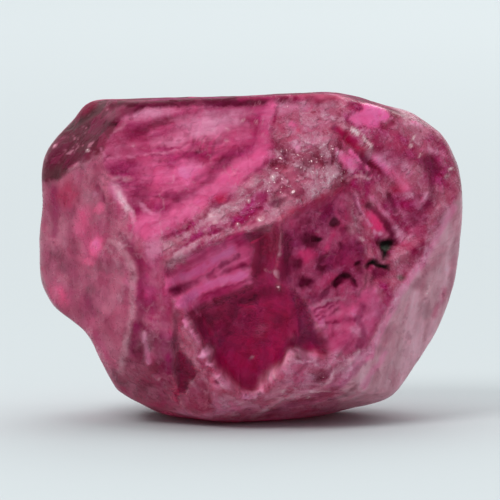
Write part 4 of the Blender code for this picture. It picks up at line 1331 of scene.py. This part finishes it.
class Nodes:
    # A few short ways to add nodes to a tree and join them up. Each gives back an output socket.
    def __init__(self, tree):
        self.tree = tree

    def add(self, kind, inputs=(), **settings):
        # A new node, with its settings made and its inputs joined to a socket or set to a value.
        node = self.tree.nodes.new("ShaderNode" + kind)
        for name, value in settings.items():
            setattr(node, name, value)
        for name, value in dict(inputs).items():
            self.join(value, node.inputs[name])
        return node

    def join(self, value, socket):
        if isinstance(value, bpy.types.NodeSocket):
            self.tree.links.new(value, socket)
        else:
            socket.default_value = value

    def attribute(self, name, output="Fac"):
        return self.add("Attribute", attribute_name=name).outputs[output]

    def coordinate(self, output):
        return self.add("TexCoord").outputs[output]

    def noise(self, where, scale, detail, roughness=0.6, output="Fac"):
        inputs = {"Vector": where, "Scale": scale, "Detail": detail, "Roughness": roughness}
        return self.add("TexNoise", inputs).outputs[output]

    def cells(self, where, scale, detail, roughness, **settings):
        inputs = {"Vector": where, "Scale": scale, "Detail": detail, "Roughness": roughness}
        return self.add("TexVoronoi", inputs, **settings).outputs

    def split(self, colour):
        return self.add("SeparateColor", {"Color": colour}).outputs

    def mapped(self, value, span, target):
        # The value carried from one span to another, and held at its ends.
        names = ("Value", "From Min", "From Max", "To Min", "To Max")
        return self.add("MapRange", zip(names, (value, *span, *target))).outputs["Result"]

    def calculate(self, operation, *terms):
        return self.add("Math", enumerate(terms), operation=operation).outputs["Value"]

    def times(self, *terms):
        # The product of all of them.
        product, *others = terms
        for term in others:
            product = self.calculate("MULTIPLY", product, term)
        return product

    def addTimes(self, value, factor, total):
        return self.calculate("MULTIPLY_ADD", value, factor, total)

    def combined(self, operation, *terms, output="Vector"):
        return self.add("VectorMath", enumerate(terms), operation=operation).outputs[output]

    def mixed(self, amount, colour, name):
        # A colour mixed towards one of the palette's.
        inputs = {"Factor": amount, "A": colour, "B": (*linear(name), 1)}
        return self.add("Mix", inputs, data_type="RGBA").outputs["Result"]


def newMaterial(name):
    # A new material, its nodes, and the inputs of its shader.
    material = bpy.data.materials.new(name)
    material.use_nodes = True
    tree = material.node_tree
    return material, Nodes(tree), tree.nodes["Principled BSDF"].inputs


def shapeStone():
    # The surface before it is painted: its points, quads, first directions, and faces' and walls' gaps.
    side = stone["gridSide"]
    directions, quads = weldedGrid(octahedralDirections(side), side)
    directions = directions / np.linalg.norm(directions, axis=1, keepdims=True)
    terms = surfaceTerms(directions)
    away = settle(solveAway(directions, terms), quads, directions, terms)
    points = swell(away + np.array(stone["centre"]), quads)
    print("stone: surface found")
    return points, quads, directions, heights(away, terms)


def paintStone(points, quads, directions, normals, front, gaps, hollows):
    canvas = Canvas(len(points))
    paintFaces(canvas, points, gaps, hollows)
    paintFront(canvas, points, drawnSquares(points), front)
    addGrainAndShading(canvas, points)
    evenOut(canvas, quads, ramp(*stone["stretched"], (normals * directions).sum(axis=1)))
    print("stone: coats and marks laid")
    return canvas


def carve(points, quads, normals, canvas):
    # Moves each point along its normal by the drawn height, smoothed a little, but not at the foot.
    onFoot = ramp(*stone["footFade"], points[:, 2])
    height = canvas.height[:, None]
    for step in range(stone["reliefSmoothing"]):
        height = 0.5 * (height + neighbourMeans(height, quads))
    points = points + normals * height * onFoot[:, None]
    points[:, 2] = np.maximum(points[:, 2], 0.0)
    return points


def storeAttribute(mesh, name, values):
    # A number at every point, or a colour where the values have four columns.
    kind, field = ("FLOAT_COLOR", "color") if values.ndim == 2 else ("FLOAT", "value")
    attribute = mesh.attributes.new(name, kind, "POINT")
    attribute.data.foreach_set(field, values.astype(np.float32).reshape(-1))


def storeCanvas(mesh, canvas, front):
    # What the material reads. A clear coat's colour is lightened by raising it to a power under one.
    clear = coat["clearest"] * np.clip(canvas.clear, 0.0, 1.0)
    colour = np.clip(canvas.colour, *coat["colourRange"]) ** (1 - coat["lift"] * clear[:, None])
    storeAttribute(mesh, "skinColour", np.concatenate([colour, np.ones((len(colour), 1))], axis=1))
    storeAttribute(mesh, "clearness", clear)
    storeAttribute(mesh, "roughness", np.clip(canvas.rough, *coat["roughRange"]))
    storeAttribute(mesh, "frosting", np.clip(canvas.frost, 0.0, 1.0))
    storeAttribute(mesh, "streaking", np.clip(canvas.streak, 0.0, 1.0))
    storeAttribute(mesh, "sparkle", np.clip(canvas.sparkle, 0.0, 1.0))
    storeAttribute(mesh, "lies", canvas.lies)
    storeAttribute(mesh, "sharding", 1 - coat["drawnShards"] * front)


def buildStone():
    points, quads, directions, (gaps, hollows) = shapeStone()
    normals = vertexNormals(points, quads)
    front = ramp(*stone["facing"], -normals[:, 1])
    canvas = paintStone(points, quads, directions, normals, front, gaps, hollows)
    points = carve(points, quads, normals, canvas)
    mesh = bpy.data.meshes.new("spinelSkin")
    mesh.from_pydata(points * mm, [], quads.tolist())
    mesh.validate()
    storeCanvas(mesh, canvas, front)
    mesh.update()
    mesh.shade_smooth()
    print("stone:", len(mesh.vertices), "points,", len(mesh.polygons), "faces")
    return addObject("spinelSkin", mesh)


# The stone's substance, and the detail in it that is finer than the mesh. A noise is given by its
# cells to the metre, its layers, and where they aren't the usual, how much each layer keeps.
gem = {
    "ior": 1.718,
    "specular": 0.05,
    "specularTint": (0.30, 0.10, 0.18, 1),
    "throughColour": (0.87, 0.0, 0.52, 1),
    "density": 900.0,             # per metre
    "usual": (0.28, 0.72),        # what a noise keeps within
    "bendNoise": (2600.0, 2.0, 0.5),
    "bend": 0.00014,
    "streakNoise": (11000.0, 4.0),
    "streakLength": 6.0,          # how many times longer than wide the fine streaks are
    "streakTone": 0.26,
    "streakRelief": 0.8,
    "leastStreak": 0.08,
    "clouding": 0.12,
    "grainNoise": (17000.0, 4.0),
    "grainTone": 0.16,
    "grainRoughness": 0.06,
    "leastGrain": 0.15,
    "fibreNoise": (7000.0, 3.0),
    "fibreWidth": 0.06,
    "fibreTone": 0.30,
    "fibreRelief": 1.5,
    "patchNoise": (4200.0, 5.0),
    "patchEdge": (0.46, 0.54),
    "patchTone": 0.16,
    "patchRelief": 2.0,
    "leastPatch": 0.25,
    "crumbNoise": (9000.0, 2.0, 0.7),
    "crumbReach": 0.8,
    "crumbTone": 0.20,
    "crumbRelief": 1.6,
    "shardNoise": (2300.0, 1.0, 0.5),
    "shardTone": 0.34,
    "shardTilt": 0.55,
    "border": 0.05,               # how wide a shard's pale border is, in shards
    "borderTone": 0.40,
    "leastBorder": 0.1,
    "litFrom": (0.66, 0.76),      # which shards catch the light
    "litTone": 0.66,
    "leastLit": 0.2,
    "pitNoise": (9000.0, 2.0),
    "pitEdge": (0.34, 0.26),
    "pitTone": 0.7,
    "glintNoise": (20000.0, 1.0),
    "glintEdge": (0.86, 0.94),
    "sparkleReach": 0.42,
    "bumpDepth": 0.000005,
}


def bentPlace(nodes, here):
    # The place moved a little this way and that, so that nothing drawn by it runs straight.
    bend = nodes.noise(here, *gem["bendNoise"], output="Color")
    return nodes.combined("MULTIPLY_ADD", bend, (gem["bend"],) * 3, here)


def lyingStreaks(nodes, bent):
    # Each lie has a noise of its own, turned and drawn out along it. A point adds up its share of each.
    shares = [*nodes.split(nodes.attribute("lies", "Color")), nodes.attribute("lies", "Alpha")]
    drawnOut = (gem["streakLength"], 1, 1)
    total = 0.0
    for degrees, share in zip(lies.values(), shares):
        turned = (0, -math.radians(degrees), 0)
        inputs = {"Vector": bent, "Rotation": turned, "Scale": drawnOut}
        place = nodes.add("Mapping", inputs, vector_type="TEXTURE").outputs["Vector"]
        total = nodes.addTimes(nodes.noise(place, *gem["streakNoise"]), share, total)
    streaks = nodes.mapped(total, gem["usual"], (-1, 1))
    return nodes.times(streaks, nodes.mapped(nodes.attribute("streaking"), (0, 1), (gem["leastStreak"], 1)))


def finePatches(nodes, here, frost):
    # Grain everywhere, and ragged patches with a crisp edge where a noise passes its middle value.
    specks = nodes.mapped(nodes.noise(here, *gem["grainNoise"]), gem["usual"], (-1, 1))
    patches = nodes.mapped(nodes.noise(here, *gem["patchNoise"]), gem["patchEdge"], (-1, 1))
    specks = nodes.times(specks, nodes.mapped(frost, (0, 1), (gem["leastGrain"], 1)))
    return specks, nodes.times(patches, nodes.mapped(frost, (0, 1), (gem["leastPatch"], 1)))


def frostedCrumbs(nodes, here, frost):
    # Frosted coats are made of crumbs, each with its own tone and its own small dome.
    crumbs = nodes.cells(here, *gem["crumbNoise"])
    tone = nodes.mapped(nodes.split(crumbs["Color"])["Red"], (0, 1), (-1, 1))
    dome = nodes.mapped(crumbs["Distance"], (0, gem["crumbReach"]), (1, -1))
    return nodes.times(tone, frost), nodes.times(dome, frost)


def wanderingFibres(nodes, bent, frost):
    # Pale fibres in the frosted coats, where a noise crosses its middle value.
    crossing = nodes.mapped(nodes.noise(bent, *gem["fibreNoise"]), (0, 1), (-1, 1))
    crossing = nodes.calculate("ABSOLUTE", crossing)
    return nodes.times(nodes.mapped(crossing, (gem["fibreWidth"], 0), (0, gem["fibreTone"])), frost)


def brokenShards(nodes, bent, patches, streaks):
    # Away from the drawn front the stone is broken into small shards, each a cell with its own tone
    # and tilt, and pale along part of its border. A few are painted bright pink, a painted glow of light
    # from within.
    sharding = nodes.attribute("sharding")
    shards = nodes.cells(bent, *gem["shardNoise"], normalize=True)
    borders = nodes.cells(bent, *gem["shardNoise"], feature="DISTANCE_TO_EDGE")
    values = nodes.split(shards["Color"])
    tone = nodes.mapped(values["Green"], (0, 1), (-1, 1))
    offset = nodes.combined("SUBTRACT", bent, shards["Position"])
    slope = nodes.combined("SUBTRACT", shards["Color"], (0.5, 0.5, 0.5))
    tilt = nodes.combined("DOT_PRODUCT", offset, slope, output="Value")
    border = nodes.mapped(borders["Distance"], (gem["border"], 0), (0, gem["borderTone"]))
    border = nodes.times(border, nodes.mapped(patches, (0, 1), (gem["leastBorder"], 1)))
    lit = nodes.mapped(values["Blue"], gem["litFrom"], (0, gem["litTone"]))
    lit = nodes.times(lit, nodes.mapped(streaks, (-1, 1), (gem["leastLit"], 1)))
    return [nodes.times(part, sharding) for part in (tone, tilt, border, lit)]


def spinelMaterial():
    # See-through by transmission, IOR and absorption. The coats' colour, clearness and roughness come
    # from the mesh; streaks, grain, sparkle and pits finer than the mesh are drawn into them here.
    material, nodes, shader = newMaterial("pinkSpinel")
    shader["IOR"].default_value = gem["ior"]
    shader["Specular IOR Level"].default_value = gem["specular"]
    shader["Specular Tint"].default_value = gem["specularTint"]
    here = nodes.coordinate("Object")
    bent = bentPlace(nodes, here)
    frost = nodes.attribute("frosting")
    streaks = lyingStreaks(nodes, bent)
    specks, patches = finePatches(nodes, here, frost)
    crumbs, domes = frostedCrumbs(nodes, here, frost)
    shards, tilts, borders, lit = brokenShards(nodes, bent, patches, streaks)
    fibres = wanderingFibres(nodes, bent, frost)
    pits = nodes.mapped(nodes.noise(here, *gem["pitNoise"]), gem["pitEdge"], (0, gem["pitTone"]))
    pits = nodes.times(pits, frost)
    # Painted glints: bright specks wherever the sparkle lifts a fine noise past its edge.
    glinting = nodes.noise(here, *gem["glintNoise"])
    glinting = nodes.addTimes(nodes.attribute("sparkle"), gem["sparkleReach"], glinting)
    glints = nodes.mapped(glinting, gem["glintEdge"], (0, 1))
    # All of them raise the colour to a power: paler where they stand out, deeper between.
    tones = (
        (streaks, gem["streakTone"]), (specks, gem["grainTone"]), (crumbs, gem["crumbTone"]),
        (patches, gem["patchTone"]), (shards, gem["shardTone"]), (borders, 1.0), (fibres, 1.0),
    )
    power = 1.0
    for part, tone in tones:
        power = nodes.addTimes(part, -tone, power)
    toned = nodes.add("Gamma", {"Color": nodes.attribute("skinColour", "Color"), "Gamma": power})
    colour = nodes.mixed(lit, toned.outputs["Color"], "hotPink")
    colour = nodes.mixed(pits, colour, "maroon")
    nodes.join(nodes.mixed(glints, colour, "glint"), shader["Base Color"])
    # Clear coats cloud over along their streaks, and a glint, a painted highlight, is solid.
    clear = nodes.addTimes(streaks, -gem["clouding"], nodes.attribute("clearness"))
    clear = nodes.calculate("SUBTRACT", clear, nodes.calculate("ADD", glints, pits))
    nodes.join(nodes.mapped(clear, (0, 1), (0, 1)), shader["Transmission Weight"])
    rough = nodes.addTimes(specks, gem["grainRoughness"], nodes.attribute("roughness"))
    nodes.join(rough, shader["Roughness"])
    reliefs = (
        (streaks, gem["streakRelief"]), (fibres, gem["fibreRelief"]), (domes, gem["crumbRelief"]),
        (patches, gem["patchRelief"]), (tilts, gem["shardTilt"] / gem["bumpDepth"]),
    )
    relief = nodes.calculate("ADD", specks, glints)
    for part, height in reliefs:
        relief = nodes.addTimes(part, height, relief)
    bump = nodes.add("Bump", {"Distance": gem["bumpDepth"], "Height": relief})
    nodes.join(bump.outputs["Normal"], shader["Normal"])
    absorption = nodes.add("VolumeAbsorption", {"Color": gem["throughColour"], "Density": gem["density"]})
    nodes.join(absorption.outputs["Volume"], nodes.tree.nodes["Material Output"].inputs["Volume"])
    return material


view = {
    "elevation": 5.0,       # degrees above level
    "distance": 120.0,      # millimetres
    "frameWidth": 7.092,    # how much the camera takes in at the stone, millimetres
    "target": (-0.004, 0.0, 2.377),
    "sensor": 36.0,
    "clip": (0.001, 5.0),   # metres
}


def addCamera():
    camera = addObject("camera", bpy.data.cameras.new("camera"))
    tilt = math.radians(view["elevation"])
    x, y, z = view["target"]
    away = view["distance"]
    camera.location = (x * mm, (y - away * math.cos(tilt)) * mm, (z + away * math.sin(tilt)) * mm)
    camera.rotation_euler = (math.pi / 2 - tilt, 0, 0)
    camera.data.sensor_width = view["sensor"]
    camera.data.lens = view["sensor"] * away / view["frameWidth"]
    camera.data.clip_start, camera.data.clip_end = view["clip"]
    bpy.context.scene.camera = camera


# The plain studio: a pale floor, an even sky and a soft lamp before and behind the stone.
studio = {
    "floorSide": 0.6,
    "floorColour": (0.597, 0.645, 0.655, 1),
    "skyColour": (0.97, 0.985, 1.0, 1),
    "horizon": 0.50,
    "zenith": 2.15,
    "skyCurve": 3.0,
    "before": 0.5,
    "behind": 1.25,
    "fromTo": (-0.3, 0.6),
}

# Where each lamp stands, how wide it is, both in millimetres, and its power in watts.
lamps = {
    "key": ((-60, -70, 90), 60, 0.060),
    "rim": ((20, 110, 70), 80, 0.030),
}


def addLamp(name, place, size, power):
    # A round soft lamp that faces the stone's middle: tipped by the angle off straight down, then
    # turned to its side.
    lamp = bpy.data.lights.new(name, "AREA")
    lamp.shape = "DISK"
    lamp.size = size * mm
    lamp.energy = power
    made = addObject(name, lamp)
    made.location = tuple(c * mm for c in place)
    x, y, z = (c - m for c, m in zip(place, stone["centre"]))
    made.rotation_euler = (math.acos(z / math.hypot(x, y, z)), 0, math.atan2(y, x) + math.pi / 2)


def addFloor():
    side = studio["floorSide"]
    mesh = bpy.data.meshes.new("floor")
    corners = [(-side, -side, 0), (side, -side, 0), (side, side, 0), (-side, side, 0)]
    mesh.from_pydata(corners, [], [(0, 1, 2, 3)])
    material, nodes, shader = newMaterial("palePaper")
    shader["Base Color"].default_value = studio["floorColour"]
    shader["Roughness"].default_value = 1.0
    shader["Specular IOR Level"].default_value = 0.0
    mesh.materials.append(material)
    floor = addObject("floor", mesh)


def addSky():
    # A plain sky: brighter overhead than at the horizon, and brighter behind the stone than before it.
    world = bpy.data.worlds.new("studio")
    world.use_nodes = True
    nodes = Nodes(world.node_tree)
    way = nodes.add("SeparateXYZ", {"Vector": nodes.coordinate("Generated")}).outputs
    height = nodes.calculate("POWER", way["Z"], studio["skyCurve"])
    overhead = nodes.mapped(height, (0, 1), (studio["horizon"], studio["zenith"]))
    around = nodes.mapped(way["Y"], studio["fromTo"], (studio["before"], studio["behind"]))
    background = world.node_tree.nodes["Background"].inputs
    nodes.join(nodes.times(overhead, around), background["Strength"])
    nodes.join(studio["skyColour"], background["Color"])
    bpy.context.scene.world = world


def addStage():
    addFloor()
    addSky()
    for name, (place, size, power) in lamps.items():
        addLamp(name, place, size, power)
    bpy.context.scene.view_settings.view_transform = "Standard"


spinel = buildStone()
spinel.data.materials.append(spinelMaterial())
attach(spinel, "root")
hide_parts("spinel_crystal")
addStage()
addCamera()
print("light and camera set")
